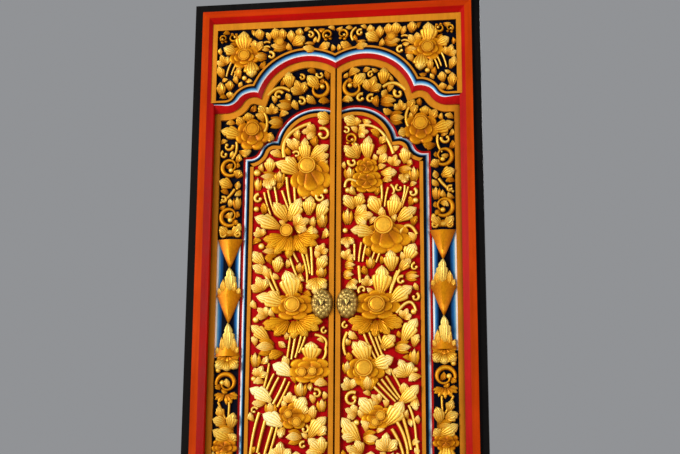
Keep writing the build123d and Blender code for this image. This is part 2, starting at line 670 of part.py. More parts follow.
# Mouldings, mitred at the top corners; the jamb ones are cut back beside the transom board
for name, side in (("left", -1), ("right", 1)):
    with BuildPart() as moulding:
        add(moulding_section(Plane(origin=(side * moulding_outer_x, 0, sill_stop_height)), -side))
        extrude(amount=moulding_top_z - sill_stop_height)
        split(
            bisect_by=Plane(origin=(side * moulding_outer_x, 0, moulding_top_z), z_dir=(-side, 0, 1)),
            keep=Keep.BOTTOM,
        )
        with BuildSketch(front(stop_back)):
            middle = side * (transom_half_width + moulding_inner_x) / 2
            with Locations((middle, (housing_z + transom_top_z) / 2)):
                Rectangle(transom_half_width - moulding_inner_x, transom_top_z - housing_z)
        extrude(amount=stop_back - moulding_front, mode=Mode.SUBTRACT)
    write(moulding.part, f"{name}_moulding")

with BuildPart() as head_moulding:
    start = Plane(origin=(-moulding_outer_x, 0, moulding_top_z), x_dir=(0, 0, -1), z_dir=(1, 0, 0))
    add(moulding_section(start, 1))
    extrude(amount=2 * moulding_outer_x, dir=(1, 0, 0))
    for side in (-1, 1):
        split(
            bisect_by=Plane(origin=(side * moulding_outer_x, 0, moulding_top_z), z_dir=(-side, 0, 1)),
            keep=Keep.TOP,
        )
write(head_moulding.part, "head_moulding")

# Transom board: cove and bevel along its arch, and a recess for its carving
arch_sections = [
    (stop_back, bevel_width, frame_width, 0),
    (bevel_back, bevel_width, frame_width, 0),
    (cove_back, 0, frame_width, 0),
    (transom_front, -cove_width, frame_width, 0),
]
recess_drop = -(cove_width + transom_arch_rim)
recess_half_width = transom_half_width - transom_side_rim
recess_top_z = transom_top_z - transom_top_rim


def transom_field(back, face):
    """Solid over the arch, inside the transom's rims."""
    with BuildPart(mode=Mode.PRIVATE) as field:
        with BuildSketch(front(back)):
            with Locations((0, recess_top_z)):
                Rectangle(
                    2 * recess_half_width, recess_top_z - transom_foot_z, align=(Align.CENTER, Align.MAX),
                )
        extrude(amount=back - face)
        for side in (-1, 1):
            add(door_arch.straight(side, recess_drop, 0, frame_width, 0, back, face), mode=Mode.SUBTRACT)
    return field.part


with BuildPart() as transom_board:
    with BuildSketch(front(stop_back)):
        with BuildLine():
            Polyline(
                (-moulding_inner_x, transom_foot_z), (moulding_inner_x, transom_foot_z),
                (moulding_inner_x, housing_z), (transom_half_width, housing_z),
                (transom_half_width, transom_top_z), (-transom_half_width, transom_top_z),
                (-transom_half_width, housing_z), (-moulding_inner_x, housing_z), close=True,
            )
        make_face()
    extrude(amount=stop_back - transom_front)
    for side in (-1, 1):
        add(door_arch.flared(side, 0, arch_sections), mode=Mode.SUBTRACT)
    add(transom_field(transom_recess_y, transom_front), mode=Mode.SUBTRACT)
write(transom_board.part, "transom_board")

with BuildPart() as transom_relief:
    for side in (-1, 1):
        add(carved(side, transom_ground_y, TRANSOM))
    add(transom_field(transom_recess_y, relief_front), mode=Mode.INTERSECT)

with BuildPart() as transom_carving:
    add(transom_field(transom_recess_y, transom_ground_y))
    add(transom_relief.part)
write(transom_carving.part, "transom_carving")

# Leaves
spread = panel_outer_x - drawn_panel_x
ledge_outer_x = pivot_x - ledge_heel
for name, side in (("left", -1), ("right", 1)):
    recess = door_arch.straight(
        side, border_arch_drop, meeting_strip_x, border_outer_x, recess_bottom_z, recess_y, relief_front,
    )
    with BuildPart() as leaf_board:
        with BuildSketch(Plane.XY.offset(leaf_bottom)):
            with BuildLine():
                Line((side * pivot_x, 0), (side * leaf_gap, 0))
                Line((side * leaf_gap, 0), (side * leaf_gap, leaf_back))
                Line((side * leaf_gap, leaf_back), (side * pivot_x, leaf_back))
                ThreePointArc(
                    (side * pivot_x, leaf_back), (side * (pivot_x + pivot_y), pivot_y), (side * pivot_x, 0),
                )
            make_face()
        extrude(amount=leaf_top - leaf_bottom)
        add(recess, mode=Mode.SUBTRACT)
        with Locations((side * pivot_x, pivot_y, leaf_bottom)):
            Box(
                tang_side, tang_side, pivot_in_leaf, mode=Mode.SUBTRACT,
                align=(Align.CENTER, Align.CENTER, Align.MIN),
            )
        with Locations((side * pivot_x, pivot_y, leaf_top)):
            Box(
                tang_side, tang_side, pivot_in_leaf, mode=Mode.SUBTRACT,
                align=(Align.CENTER, Align.CENTER, Align.MAX),
            )
        with BuildSketch(front(leaf_back)):
            with Locations((side * pull_x, pull_z)):
                Circle(stud_r + stud_clearance)
        extrude(amount=leaf_thickness, mode=Mode.SUBTRACT)
    write(leaf_board.part, f"{name}_leaf_board")

    # Border carving round the panel
    panel_void = panel_arch.flared(side, meeting_strip_x, [
        (recess_y, 0, panel_outer_x, panel_bottom_z),
        (border_ground_y, -border_bevel, panel_outer_x + border_bevel, panel_bottom_z - border_bevel),
    ])
    panel_clear = panel_arch.straight(
        side, -border_bevel, 0, panel_outer_x + border_bevel, panel_bottom_z - border_bevel,
        border_ground_y, relief_front,
    )
    with BuildPart() as border_relief:
        add(carved(side, border_ground_y, BORDER_TOP + BORDER_FOOT))
        add(carved(side, border_ground_y, BORDER_STRIP, shift=spread, lift=lower_lift if side > 0 else 0.0))
        add(recess, mode=Mode.INTERSECT)
        add(panel_clear, mode=Mode.SUBTRACT)
    with BuildPart() as border_carving:
        add(door_arch.straight(
            side, border_arch_drop, meeting_strip_x, border_outer_x, recess_bottom_z,
            recess_y, border_ground_y,
        ))
        add(panel_void, mode=Mode.SUBTRACT)
        add(border_relief.part)
    write(border_carving.part, f"{name}_border_carving")

    # Raised panel: a cove up to its rim, and a sunk ground with the flowers
    pocket = (
        panel_cove + panel_rim, meeting_strip_x + panel_inner_rim,
        panel_outer_x - panel_cove - panel_rim, panel_bottom_z + panel_cove + panel_rim,
    )
    with BuildPart() as pull_ground:
        with BuildSketch(front(panel_ground_y)):
            with Locations((side * pull_x, pull_z)):
                Ellipse(pull_half_width + pull_pad, pull_half_height + pull_pad)
            with Locations((side * (meeting_strip_x + panel_outer_x) / 2, pull_z)):
                Rectangle(panel_outer_x - meeting_strip_x, frame_width, mode=Mode.INTERSECT)
        extrude(amount=panel_ground_y)
    flowers = LEFT_PANEL if side < 0 else RIGHT_PANEL
    with BuildPart() as panel_relief:
        add(carved(side, panel_ground_y, flowers, panel_outer_x / drawn_panel_x))
        add(panel_arch.straight(side, *pocket, recess_y, relief_front), mode=Mode.INTERSECT)
    with BuildPart() as panel_carving:
        add(panel_arch.flared(side, meeting_strip_x, [
            (recess_y, 0, panel_outer_x, panel_bottom_z),
            (panel_rim_y, panel_cove, panel_outer_x - panel_cove, panel_bottom_z + panel_cove),
        ]))
        add(panel_arch.straight(side, *pocket, panel_ground_y, relief_front), mode=Mode.SUBTRACT)
        add(panel_relief.part)
        with BuildSketch(front(panel_ground_y)):
            with Locations((side * pull_x, pull_z)):
                Ellipse(pull_half_width + pull_pad, pull_half_height + pull_pad)
        extrude(amount=panel_ground_y - relief_front, mode=Mode.SUBTRACT)
        add(pull_ground.part)
        with BuildSketch(front(recess_y)):
            with Locations((side * pull_x, pull_z)):
                Circle(stud_r + stud_clearance)
        extrude(amount=recess_y, mode=Mode.SUBTRACT)
    write(panel_carving.part, f"{name}_panel_carving")

    # Pivot pins and their sockets
    pin_reach = socket_depth - socket_floor - pivot_end_gap
    with BuildPart() as bottom_pivot:
        with Locations((side * pivot_x, pivot_y, leaf_bottom)):
            Cylinder(pin_r, pin_reach + leaf_foot_gap, align=(Align.CENTER, Align.CENTER, Align.MAX))
            Box(tang_side, tang_side, pivot_in_leaf, align=(Align.CENTER, Align.CENTER, Align.MIN))
    write(bottom_pivot.part, f"{name}_bottom_pivot")
    with BuildPart() as top_pivot:
        with Locations((side * pivot_x, pivot_y, leaf_top)):
            Cylinder(pin_r, pin_reach + leaf_head_gap, align=(Align.CENTER, Align.CENTER, Align.MIN))
            Box(tang_side, tang_side, pivot_in_leaf, align=(Align.CENTER, Align.CENTER, Align.MAX))
    write(top_pivot.part, f"{name}_top_pivot")
    with BuildPart() as cup:
        with Locations((side * pivot_x, pivot_y, sill_height)):
            Box(socket_side, socket_side, socket_depth, align=(Align.CENTER, Align.CENTER, Align.MAX))
            Cylinder(
                pivot_r, socket_depth - socket_floor, mode=Mode.SUBTRACT,
                align=(Align.CENTER, Align.CENTER, Align.MAX),
            )
    write(cup.part, f"{name}_pivot_cup")
    with BuildPart() as bush:
        with Locations((side * pivot_x, pivot_y, head_rebate_z)):
            Box(socket_side, socket_side, socket_depth, align=(Align.CENTER, Align.CENTER, Align.MIN))
            Cylinder(
                pivot_r, socket_depth - socket_floor, mode=Mode.SUBTRACT,
                align=(Align.CENTER, Align.CENTER, Align.MIN),
            )
    write(bush.part, f"{name}_pivot_bush")

    # Pull boss with its stud, and the nut behind
    with BuildPart() as pull:
        add(dome(side, pull_x, pull_z, pull_half_width, pull_half_height, pull_sides, pull_steps))
        with BuildSketch(front(leaf_back + washer_height + nut_height + stud_tail)):
            with Locations((side * pull_x, pull_z)):
                Circle(stud_r)
        extrude(amount=leaf_back + washer_height + nut_height + stud_tail)
    write(pull.part, f"{name}_pull")
    with BuildPart() as pull_nut:
        with BuildSketch(front(leaf_back + washer_height)):
            with Locations((side * pull_x, pull_z)):
                Rectangle(washer_side, washer_side)
        extrude(amount=washer_height)
        with BuildSketch(front(leaf_back + washer_height + nut_height)):
            with Locations((side * pull_x, pull_z)):
                RegularPolygon(nut_across / 2, 6, major_radius=False)
        extrude(amount=nut_height)
        with BuildSketch(front(leaf_back + washer_height + nut_height)):
            with Locations((side * pull_x, pull_z)):
                Circle(stud_r + thread_clearance)
        extrude(amount=washer_height + nut_height, mode=Mode.SUBTRACT)
    write(pull_nut.part, f"{name}_pull_nut")

    # Ledges
    for place, z in (("lower", lower_ledge_z), ("upper", upper_ledge_z)):
        with BuildPart() as ledge:
            middle = side * (ledge_inner_x + ledge_outer_x) / 2
            with Locations((middle, leaf_back + ledge_thickness / 2, z)):
                Box(ledge_outer_x - ledge_inner_x, ledge_thickness, ledge_height)
            chamfer(ledge.faces().sort_by(Axis.Y)[-1].edges(), ledge_chamfer)
        write(ledge.part, f"{name}_{place}_ledge")

# Draw bar on the left leaf, with its keeps
keep_centres = (
    ("left_outer_keep", -outer_keep_x),
    ("left_inner_keep", -inner_keep_x),
    ("right_keep", inner_keep_x),
)
for name, x in keep_centres:
    with BuildPart() as keep:
        with Locations((x, leaf_back + keep_depth / 2, bar_z)):
            Box(keep_width, keep_depth, keep_height)
        chamfer(keep.faces().sort_by(Axis.Y)[-1].edges(), ledge_chamfer)
        with Locations((x, leaf_back, bar_z)):
            Box(
                keep_width, bar_thickness + 2 * bar_clearance, bar_height + 2 * bar_clearance,
                mode=Mode.SUBTRACT, align=(Align.CENTER, Align.MIN, Align.CENTER),
            )
    write(keep.part, name)

with BuildPart() as draw_bar:
    with Locations((-(bar_outer_end + bar_inner_end) / 2, bar_y + bar_thickness / 2, bar_z)):
        Box(bar_outer_end - bar_inner_end, bar_thickness, bar_height)
    chamfer(draw_bar.edges().filter_by(Axis.X), bar_chamfer)
    with BuildSketch(front(bar_y + bar_thickness)):
        with Locations((-peg_x, bar_z)):
            RegularPolygon(peg_r, peg_sides)
    extrude(amount=peg_depth, mode=Mode.SUBTRACT)
write(draw_bar.part, "draw_bar")

with BuildPart() as bar_peg:
    with BuildSketch(front(bar_y + bar_thickness + peg_length)):
        with Locations((-peg_x, bar_z)):
            RegularPolygon(peg_r, peg_sides)
    extrude(amount=peg_depth + peg_length)
write(bar_peg.part, "bar_peg")
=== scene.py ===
import bpy
import random
import numpy as np
from math import atan2, cos, degrees, exp, hypot, pi, radians, sin, sqrt
from mathutils import Matrix, Vector
from mathutils.geometry import tessellate_polygon


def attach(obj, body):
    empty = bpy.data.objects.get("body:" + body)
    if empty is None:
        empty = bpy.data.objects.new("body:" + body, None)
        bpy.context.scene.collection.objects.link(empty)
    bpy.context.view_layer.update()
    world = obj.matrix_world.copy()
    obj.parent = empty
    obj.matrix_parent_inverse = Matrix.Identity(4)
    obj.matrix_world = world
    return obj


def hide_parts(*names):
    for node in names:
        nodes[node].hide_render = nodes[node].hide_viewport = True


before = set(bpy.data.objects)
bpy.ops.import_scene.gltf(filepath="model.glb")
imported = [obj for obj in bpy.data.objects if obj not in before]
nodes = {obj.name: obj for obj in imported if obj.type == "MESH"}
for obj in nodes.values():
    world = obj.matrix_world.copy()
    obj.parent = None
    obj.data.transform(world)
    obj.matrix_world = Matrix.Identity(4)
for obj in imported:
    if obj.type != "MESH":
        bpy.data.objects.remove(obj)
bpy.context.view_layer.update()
rng = random.Random(7)
SIDES = (("left", -1), ("right", 1))
FRONT, BACK = (0, -1, 0), (0, 1, 0)

# Sizes are millimetres in the frame of the solids: the front faces -Y, u is the distance from the middle.
# Leaves
RECESS_Y = 20.0         # ground of the recess behind the border and the panel
RECESS_FOOT = 136.0
RECESS_DROP = 40.0      # how far the recess starts under the door's arch
BORDER_Y = 12.0         # ground of the border
BORDER_U = 431.0        # outer edge of the border
STRIP_U = 20.0          # outer edge of the meeting strip
PANEL_Y = 12.0          # ground of the raised panel
PANEL_RIM_Y = 6.0
PANEL_U = 338.0
PANEL_FOOT = 224.0
PANEL_SHOULDER = 1603.0         # where its upright sides end
PANEL_COVE = 8.0        # sloping edge of the border round the panel
PANEL_EDGE = 35.0       # painted edge of the panel
INNER_RIM_U = 24.0      # narrow rim of the panel beside the meeting strip
INNER_RIM_TOP = 1735.0
LOZENGES = (872.0, 1298.0)      # foot and top of the lozenges in the border
LOZENGES_U = (340.0, 440.0)     # sides of their stretch of the border
LOZENGE_ROOM = (12.0, 27.0)     # kept clear of small leaves below and above them
RIGHT_LIFT = 16.0       # how much higher the right leaf's border elements sit
PULL_U, PULL_Z = 45.0, 1057.0   # middle of the pull boss
PULL_HALF_U, PULL_HALF_Z = 39.0, 54.0
PULL_SWELL = 21.0       # how far the boss stands out without its leaves
PULL_ROOM = (62.0, 61.0)        # kept clear of small leaves below and above its middle
# Transom
TRANSOM_FRONT = -30.0
TRANSOM_Y = -20.0       # ground of its carving
TRANSOM_BACK = -2.0
TRANSOM_TOP = 2117.0
MOULDING_U = 452.0      # inner edge of the moulding
HOUSED_U = 462.0        # end of the board, let into the moulding
FIELD_U = 444.0         # outer edge of the field with the carving
FIELD_TOP = 2092.0
ARCH_RIM = 26.0         # rim of the field along the arch
BEVEL_DROP = 16.0       # how far the bevel goes down to the back
SPRING = 1790.0         # height at which the door's arch starts
ARCH_FOOT_U = 410.0

# Colours are sRGB, 0 to 255. Gold runs from painted shade in the hollows to painted highlight on the crests.
GOLD = [(0, (90, 36, 0)), (0.22, (164, 88, 6)), (0.45, (212, 142, 26)), (0.7, (236, 192, 72)),
        (1, (252, 238, 168))]
# Amber is partly a deeper gold and partly painted shade on the cups, bud sides, skirts and scrolls.
AMBER = [(0, (76, 32, 0)), (0.3, (146, 80, 2)), (0.6, (194, 122, 6)), (0.85, (218, 154, 20)),
         (1, (234, 184, 54))]
PALE = [(0, (130, 70, 10)), (0.3, (222, 172, 66)), (0.6, (250, 228, 132)), (1, (255, 250, 206))]
# Bronze of the boss, from painted shade to painted highlight
BRONZE = [(0, (62, 44, 16)), (0.3, (116, 88, 38)), (0.65, (166, 136, 64)), (1, (210, 186, 110))]
OCHRE = (186, 118, 26)
# Ochre darkened as painted shade, on the walls that drop from the ochre rims to a ground
OCHRE_PAINTED_SHADE = (150, 86, 12)
BLACK = (6, 5, 10)
NAVY = (3, 4, 20)
WHITE = (236, 226, 232)
CRIMSON = (168, 10, 6)
GROUND_RED = (158, 2, 8)
BARE_WOOD = (96, 52, 16)


def linear(rgb):
    """sRGB 0..255 to a linear colour."""
    return tuple(v / 12.92 if v <= 0.04045 else ((v + 0.055) / 1.055) ** 2.4 for v in (c / 255 for c in rgb))


def blend(stops, t):
    """Colour at t of a list of (place, sRGB) stops, as a linear colour."""
    t = min(max(t, stops[0][0]), stops[-1][0])
    for (t0, c0), (t1, c1) in zip(stops, stops[1:]):
        if t <= t1:
            k = (t - t0) / (t1 - t0)
            return linear([a + (b - a) * k for a, b in zip(c0, c1)])


class Heap:
    """Patches with a colour at every point, gathered into one mesh; its second material is the flat paint."""

    def __init__(self):
        self.points = []
        self.tints = []
        self.faces = []
        self.slots = []
        self.marks = []

    def mark(self, x, z, r):
        """Note that an element covers this circle."""
        self.marks.append((x, z, r))

    def patch(self, rows, slot=0, closed=False, facing=FRONT):
        """Quads between rows of equal length; a point is x, y, z and its linear colour."""
        start = len(self.points)
        width = len(rows[0])
        for row in rows:
            self.points.extend(point[:3] for point in row)
            self.tints.extend(point[3] for point in row)
        quads = []
        for i in range(len(rows) - 1):
            for j in range(width if closed else width - 1):
                k = (j + 1) % width
                a, b = start + i * width, start + (i + 1) * width
                quads.append((a + j, a + k, b + k, b + j))
        total = Vector((0, 0, 0))
        for q in quads:
            a, b, c, d = (Vector(self.points[i]) for i in q)
            total += (c - a).cross(d - b)
        if total.dot(Vector(facing)) < 0:
            quads = [q[::-1] for q in quads]
        self.faces.extend(quads)
        self.slots.extend([slot] * len(quads))

    def strip(self, side, rows, colours, facing=FRONT):
        """Flat paint between rows of (u, y, z), with one sRGB colour to a row."""
        self.patch([[(side * u, y, z, linear(colour)) for u, y, z in row]
                    for row, colour in zip(rows, colours)], 1, facing=facing)

    def bands(self, side, lines):
        """Flat paint between neighbouring lines of (path, y, colour); y may differ from point to point."""
        for pair in zip(lines, lines[1:]):
            rows = [[(u, y[i] if isinstance(y, list) else y, z) for i, (u, z) in enumerate(path)]
                    for path, y, _ in pair]
            self.strip(side, rows, [colour for *_, colour in pair])

    def field(self, outline, y, colour, facing=FRONT):
        """Flat paint at depth y inside an outline of (x, z)."""
        start = len(self.points)
        self.points.extend((x, y, z) for x, z in outline)
        self.tints.extend([linear(colour)] * len(outline))
        for corners in tessellate_polygon([[Vector((x, z, 0)) for x, z in outline]]):
            face = tuple(start + i for i in corners)
            a, b, c = (Vector(self.points[i]) for i in face)
            normal = (b - a).cross(c - a)
            if normal.length > 1e-9:
                self.faces.append(face if normal.dot(Vector(facing)) > 0 else face[::-1])
                self.slots.append(1)

    def build(self, name, materials, body, replaced, slot):
        """The mesh in metres, as a piece that rides on a body in place of CAD nodes."""
        mesh = bpy.data.meshes.new(name)
        mesh.from_pydata([(x / 1000, y / 1000, z / 1000) for x, y, z in self.points], [], self.faces)
        for material in materials:
            mesh.materials.append(material)
        mesh.polygons.foreach_set("material_index", self.slots)
        layer = mesh.attributes.new("tint", "FLOAT_COLOR", "POINT")
        layer.data.foreach_set("color", [v for c in self.tints for v in (*c, 1.0)])
        mesh.validate()
        mesh.update()
        for polygon in mesh.polygons:
            polygon.use_smooth = True
        mesh.set_sharp_from_angle(angle=radians(38))
        piece = bpy.data.objects.new(name, mesh)
        bpy.context.scene.collection.objects.link(piece)
        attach(piece, body)
        if replaced:
            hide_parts(*replaced)


# Arches

def meet(c1, r1, c2, r2):
    """Upper crossing of two circles."""
    dx, dz = c2[0] - c1[0], c2[1] - c1[1]
    d = hypot(dx, dz)
    along = (d * d + r1 * r1 - r2 * r2) / (2 * d)
    high = sqrt(r1 * r1 - along * along)
    return (c1[0] + (dx * along - dz * high) / d, c1[1] + (dz * along + dx * high) / d)


def on_circle(centre, r, towards):
    """Point of a circle in the direction of another point."""
    d = hypot(towards[0] - centre[0], towards[1] - centre[1])
    return (centre[0] + r * (towards[0] - centre[0]) / d, centre[1] + r * (towards[1] - centre[1]) / d)


def arc(centre, r, start, end, n):
    """Points of the shorter arc between two directions from its centre."""
    a0 = atan2(start[1] - centre[1], start[0] - centre[0])
    a1 = atan2(end[1] - centre[1], end[0] - centre[0])
    if a1 - a0 > pi:
        a1 -= 2 * pi
    if a0 - a1 > pi:
        a1 += 2 * pi
    return [(centre[0] + r * cos(a0 + (a1 - a0) * i / n), centre[1] + r * sin(a0 + (a1 - a0) * i / n))
            for i in range(n + 1)]


class Arch:
    """Half of a cusped arch: lobe, shoulder and hollow tail."""

    def __init__(self, lobe, lobe_r, shoulder, shoulder_r, foot_u, base_z):
        self.lobe, self.lobe_r, self.shoulder, self.shoulder_r = lobe, lobe_r, shoulder, shoulder_r
        dx, dz = foot_u - shoulder[0], base_z - shoulder[1]
        self.tail_r = (dx * dx + dz * dz - shoulder_r * shoulder_r) / (2 * (shoulder_r - dz))
        self.tail = (foot_u, base_z + self.tail_r)

    def path(self, drop, inner, ends=(), pointed=False):
        """Points from u = inner outwards, moved in by drop, then the ends; pointed keeps the cusp sharp."""
        lobe_r, shoulder_r, tail_r = self.lobe_r - drop, self.shoulder_r - drop, self.tail_r + drop
        top = (inner, self.lobe[1] + sqrt(lobe_r ** 2 - (inner - self.lobe[0]) ** 2))
        turn = on_circle(self.shoulder, shoulder_r, self.tail)
        foot = (self.tail[0], self.tail[1] - tail_r)
        if pointed and drop > 0:
            cusp = meet(self.lobe, self.lobe_r, self.shoulder, self.shoulder_r)
            lobe_end = on_circle(self.lobe, lobe_r, cusp)
            shoulder_start = on_circle(self.shoulder, shoulder_r, cusp)
            a, b = ((Vector(cusp) - Vector(c)).normalized() for c in (self.lobe, self.shoulder))
            corner = [tuple(Vector(cusp) - (a + b) * drop / (1 + a.dot(b)))]
        else:
            lobe_end = shoulder_start = meet(self.lobe, lobe_r, self.shoulder, shoulder_r)
            corner = [lobe_end] if pointed else []
        points = arc(self.lobe, lobe_r, top, lobe_end, 26) + corner
        points += arc(self.shoulder, shoulder_r, shoulder_start, turn, 12)[0 if pointed else 1:]
        points += arc(self.tail, tail_r, turn, foot, 8)[1:]
        return points + list(ends)


door_arch = Arch((105.0, SPRING), 192.0, (307.0, SPRING), 60.0, ARCH_FOOT_U, SPRING)
panel_arch = Arch((70.0, 1630.0), 157.0, (228.0, 1612.0), 57.0, 318.0, PANEL_SHOULDER)


def door_path(drop, reach=MOULDING_U):
    """The transom's cusped edge, moved in by drop, and level from the arch's foot out to u = reach."""
    level = SPRING - drop
    ends = [(ARCH_FOOT_U + (reach - ARCH_FOOT_U) * i / 4, level) for i in range(1, 5)]
    return door_arch.path(drop, 0.0, ends)


def panel_path(drop):
    """The raised panel's outline, moved in by drop."""
    side, top, foot = PANEL_U - drop, PANEL_SHOULDER - drop, PANEL_FOOT + drop
    down = [(side, top - (top - foot) * i / 12) for i in range(13)]
    along = [(side - (side - STRIP_U) * i / 6, foot) for i in range(1, 7)]
    return panel_arch.path(drop, STRIP_U, down + along, True)


def recess_path():
    """The outline of the recess in a leaf."""
    ends = [(BORDER_U, SPRING - RECESS_DROP), (BORDER_U, RECESS_FOOT), (STRIP_U, RECESS_FOOT)]
    return door_arch.path(RECESS_DROP, STRIP_U, ends, True)


def mirrored(side, path):
    """A path of (u, z) on one side, as (x, z)."""
    return [(side * u, z) for u, z in path]


# Carved elements. Each takes the heap, the side (-1 left, 1 right), the ground's depth and its own sizes.

def gold(t, stops=GOLD, hue=0.0):
    """Gold paint at a tone from 0 in the hollows to 1 on the crests: painted shade low, painted highlight
    high.
    """
    return blend(stops, t + hue)


def sunk(rows, ground, low):
    """The rows with all four sides carried down into the ground, in the colour low, which is painted shade at
    the element's foot.
    """
    rows = [[row[0], *row, row[-1]] for row in (rows[0], *rows, rows[-1])]
    ends, sides = (0, len(rows) - 1), (0, len(rows[0]) - 1)
    return [[(x, ground + 1, z, low) if i in ends or j in sides else (x, y, z, colour)
             for j, (x, y, z, colour) in enumerate(row)] for i, row in enumerate(rows)]


PETAL_STATIONS = (0, 0.1, 0.22, 0.34, 0.46, 0.55, 0.62, 0.655, 0.69, 0.76, 0.84, 0.91, 0.96, 1.0)
PETAL_MARKS = ((0.15, 0.22), (0.4, 0.4), (0.65, 0.46), (0.88, 0.28))     # share of its length, of its width


def plain_half(width, s):
    """Half-width of a plain petal at a share of its length."""
    tip = max(0.0, 1 - max(0, (s - 0.52) / 0.48) ** 1.35) ** 0.9
    return width * (0.13 + 0.38 * sin(pi * min(s / 0.52, 1) / 2)) * tip


def trefoil_half(width, s):
    """Half-width of a petal with two side lobes, a notch and a middle lobe."""
    if s < 0.62:
        return width * (0.14 + 0.38 * max(0.0, sin(pi * min(s, 0.6) / 1.2)) ** 1.2)
    notch = 0.33 + 0.19 * max(0.0, 1 - (s - 0.62) / 0.07) ** 0.6
    cap = 0.38 * max(0.0, 1 - max(0, (s - 0.74) / 0.26) ** 1.35) ** 0.85
    return width * (notch if s < 0.7 else min(0.33 + (s - 0.7) * 0.5, cap))


def petal(heap, side, ground, bu, bz, tu, tz, width, stops=GOLD, lobes=None, lift=0.0, bow=0.06):
    """Petal from base to tip with grooves that fan out; a wide one ends in three lobes."""
    length = hypot(tu - bu, tz - bz)
    ax, az = side * (tu - bu) / length, (tz - bz) / length
    rise = min(25.0, max(10.0, 0.6 * width)) + lift
    grooves, m = (2.5, 20) if width > 40 else (2.5, 10) if width > 18 else (1.5, 6)
    for k, share in PETAL_MARKS:
        heap.mark(side * (bu + (tu - bu) * k), bz + (tz - bz) * k, share * width)
    half_at = trefoil_half if (width > 26 if lobes is None else lobes) else plain_half
    # Random tone of each petal, plus lower petals painted lighter: painted light.
    hue = rng.uniform(-0.07, 0.05) + 0.09 * (1250 - tz) / 900
    bend = rng.choice((-1, 1)) * rng.uniform(0.3, 1) * bow * length
    rows = []
    for s in PETAL_STATIONS:
        half = max(half_at(width, s), 0.02 * width)
        droop = 1 - 0.25 * max(0, (s - 0.78) / 0.22) ** 2
        crest = rise * (0.42 + 0.58 * sin(pi / 2 * min(s / 0.7, 1))) * droop
        row = []
        for j in range(m + 1):
            t = -1 + 2 * j / m
            fold = abs(cos(pi * grooves * t))
            h = crest * (1 - 0.4 * t * t) - 0.12 * rise * (1 - fold ** 0.7) * (1 - 0.4 * s)
            off = half * t
            x = side * bu + ax * s * length - az * (off + bend * sin(pi * s))
            z = bz + az * s * length + ax * (off + bend * sin(pi * s))
            # Tips and the crests between grooves painted lighter, groove bottoms and edges darker: painted
            # highlight and shade.
            tone = 0.22 + 0.5 * s ** 0.8 + 0.34 * fold ** 0.7 - 0.1 * t * t
            row.append((x, ground - h, z, gold(tone, stops, hue)))
        rows.append(row)
    heap.patch(sunk(rows, ground, gold(0.04, stops, hue)))


def turned(heap, side, ground, u, z, profile, n):
    """Round form; its profile holds radius, height and linear colour."""
    turns = [2 * pi * i / n for i in range(n)]
    rows = [[(side * u + r * cos(a), ground - h, z + r * sin(a), colour) for a in turns]
            for r, h, colour in profile]
    heap.patch(rows, closed=True)


# Share of the radius, height and tone; the tone is painted shade at the foot and in the groove inside the
# rim, painted highlight on the rim
DISC_PROFILE = ((1.04, 6, 0.05), (1.02, 20.5, 0.35), (0.96, 23.0, 0.6), (0.88, 23.0, 0.56), (0.82, 20.6, 0.2),
                (0.78, 20.8, 0.34), (0.72, 22.2, 0.52), (0.4, 22.6, 0.54), (0, 22.7, 0.56))


def disc(heap, side, ground, u, z, r):
    """Flower heart: a flat round plate inside a raised rim."""
    hue = rng.uniform(-0.03, 0.04)
    heap.mark(side * u, z, r)
    r *= 1.12
    turned(heap, side, ground, u, z, [(r * k, h, gold(tone, GOLD, hue)) for k, h, tone in DISC_PROFILE], 32)


def bead(heap, side, ground, u, z, r):
    """Ball."""
    hue = rng.uniform(-0.05, 0.05)
    heap.mark(side * u, z, r)
    rise = 16.0 if r > 8 else 13.0
    slopes = (0, 0.25, 0.5, 0.8, 1.1, 1.35, pi / 2)
    rings = [(r, -1)] + [(r * cos(a), rise - r * 0.8 + r * 0.8 * sin(a)) for a in slopes]
    # Painted shade at the foot of the ball, rising to a painted highlight on its top.
    profile = [(reach, h, gold(0.12 + 0.9 * (k / len(slopes)) ** 0.8, GOLD, hue))
               for k, (reach, h) in enumerate(rings)]
    turned(heap, side, ground, u, z, profile, 18)


CUP_LAYERS = ((7, 1.1, 0.0, 0.0), (5, 0.74, 4.5, 0.5))     # lobes, share of the cup, height, turn in lobes
# Share of the reach, height and tone; the tone is painted shade at the foot and painted highlight on the rims
CUP_RINGS = ((1.0, -1, 0.05), (1.0, 3, 0.2), (1.0, 9.0, 0.55), (0.96, 12.0, 0.8), (0.9, 13.2, 0.86),
             (0.8, 13.0, 0.66), (0.66, 12.4, 0.5), (0.5, 12.6, 0.42), (0.34, 13.6, 0.46), (0.0, 14.4, 0.5))
# Direction in degrees and share of the radius
SKIRT_LEAVES = ((-178, 1.02), (-2, 1.02), (-152, 1.06), (-28, 1.06), (-122, 1.1), (-58, 1.1), (-90, 1.15))
LARGE_CUP = 35          # half-size from which a bowl is a cup or a skirt


def bowl(heap, side, ground, u, z, ru, rz, heart=None):
    """Flower cup that folds in to its heart; a small one is a bud and a flat one a skirt of leaves."""
    if max(ru, rz) < LARGE_CUP:
        bud(heap, side, ground, u, z, ru, rz)
    elif ru > 1.6 * rz:
        skirt(heap, side, ground, u, z, ru, rz)
    else:
        cup(heap, side, ground, u, z, ru, rz, heart or (u, z))


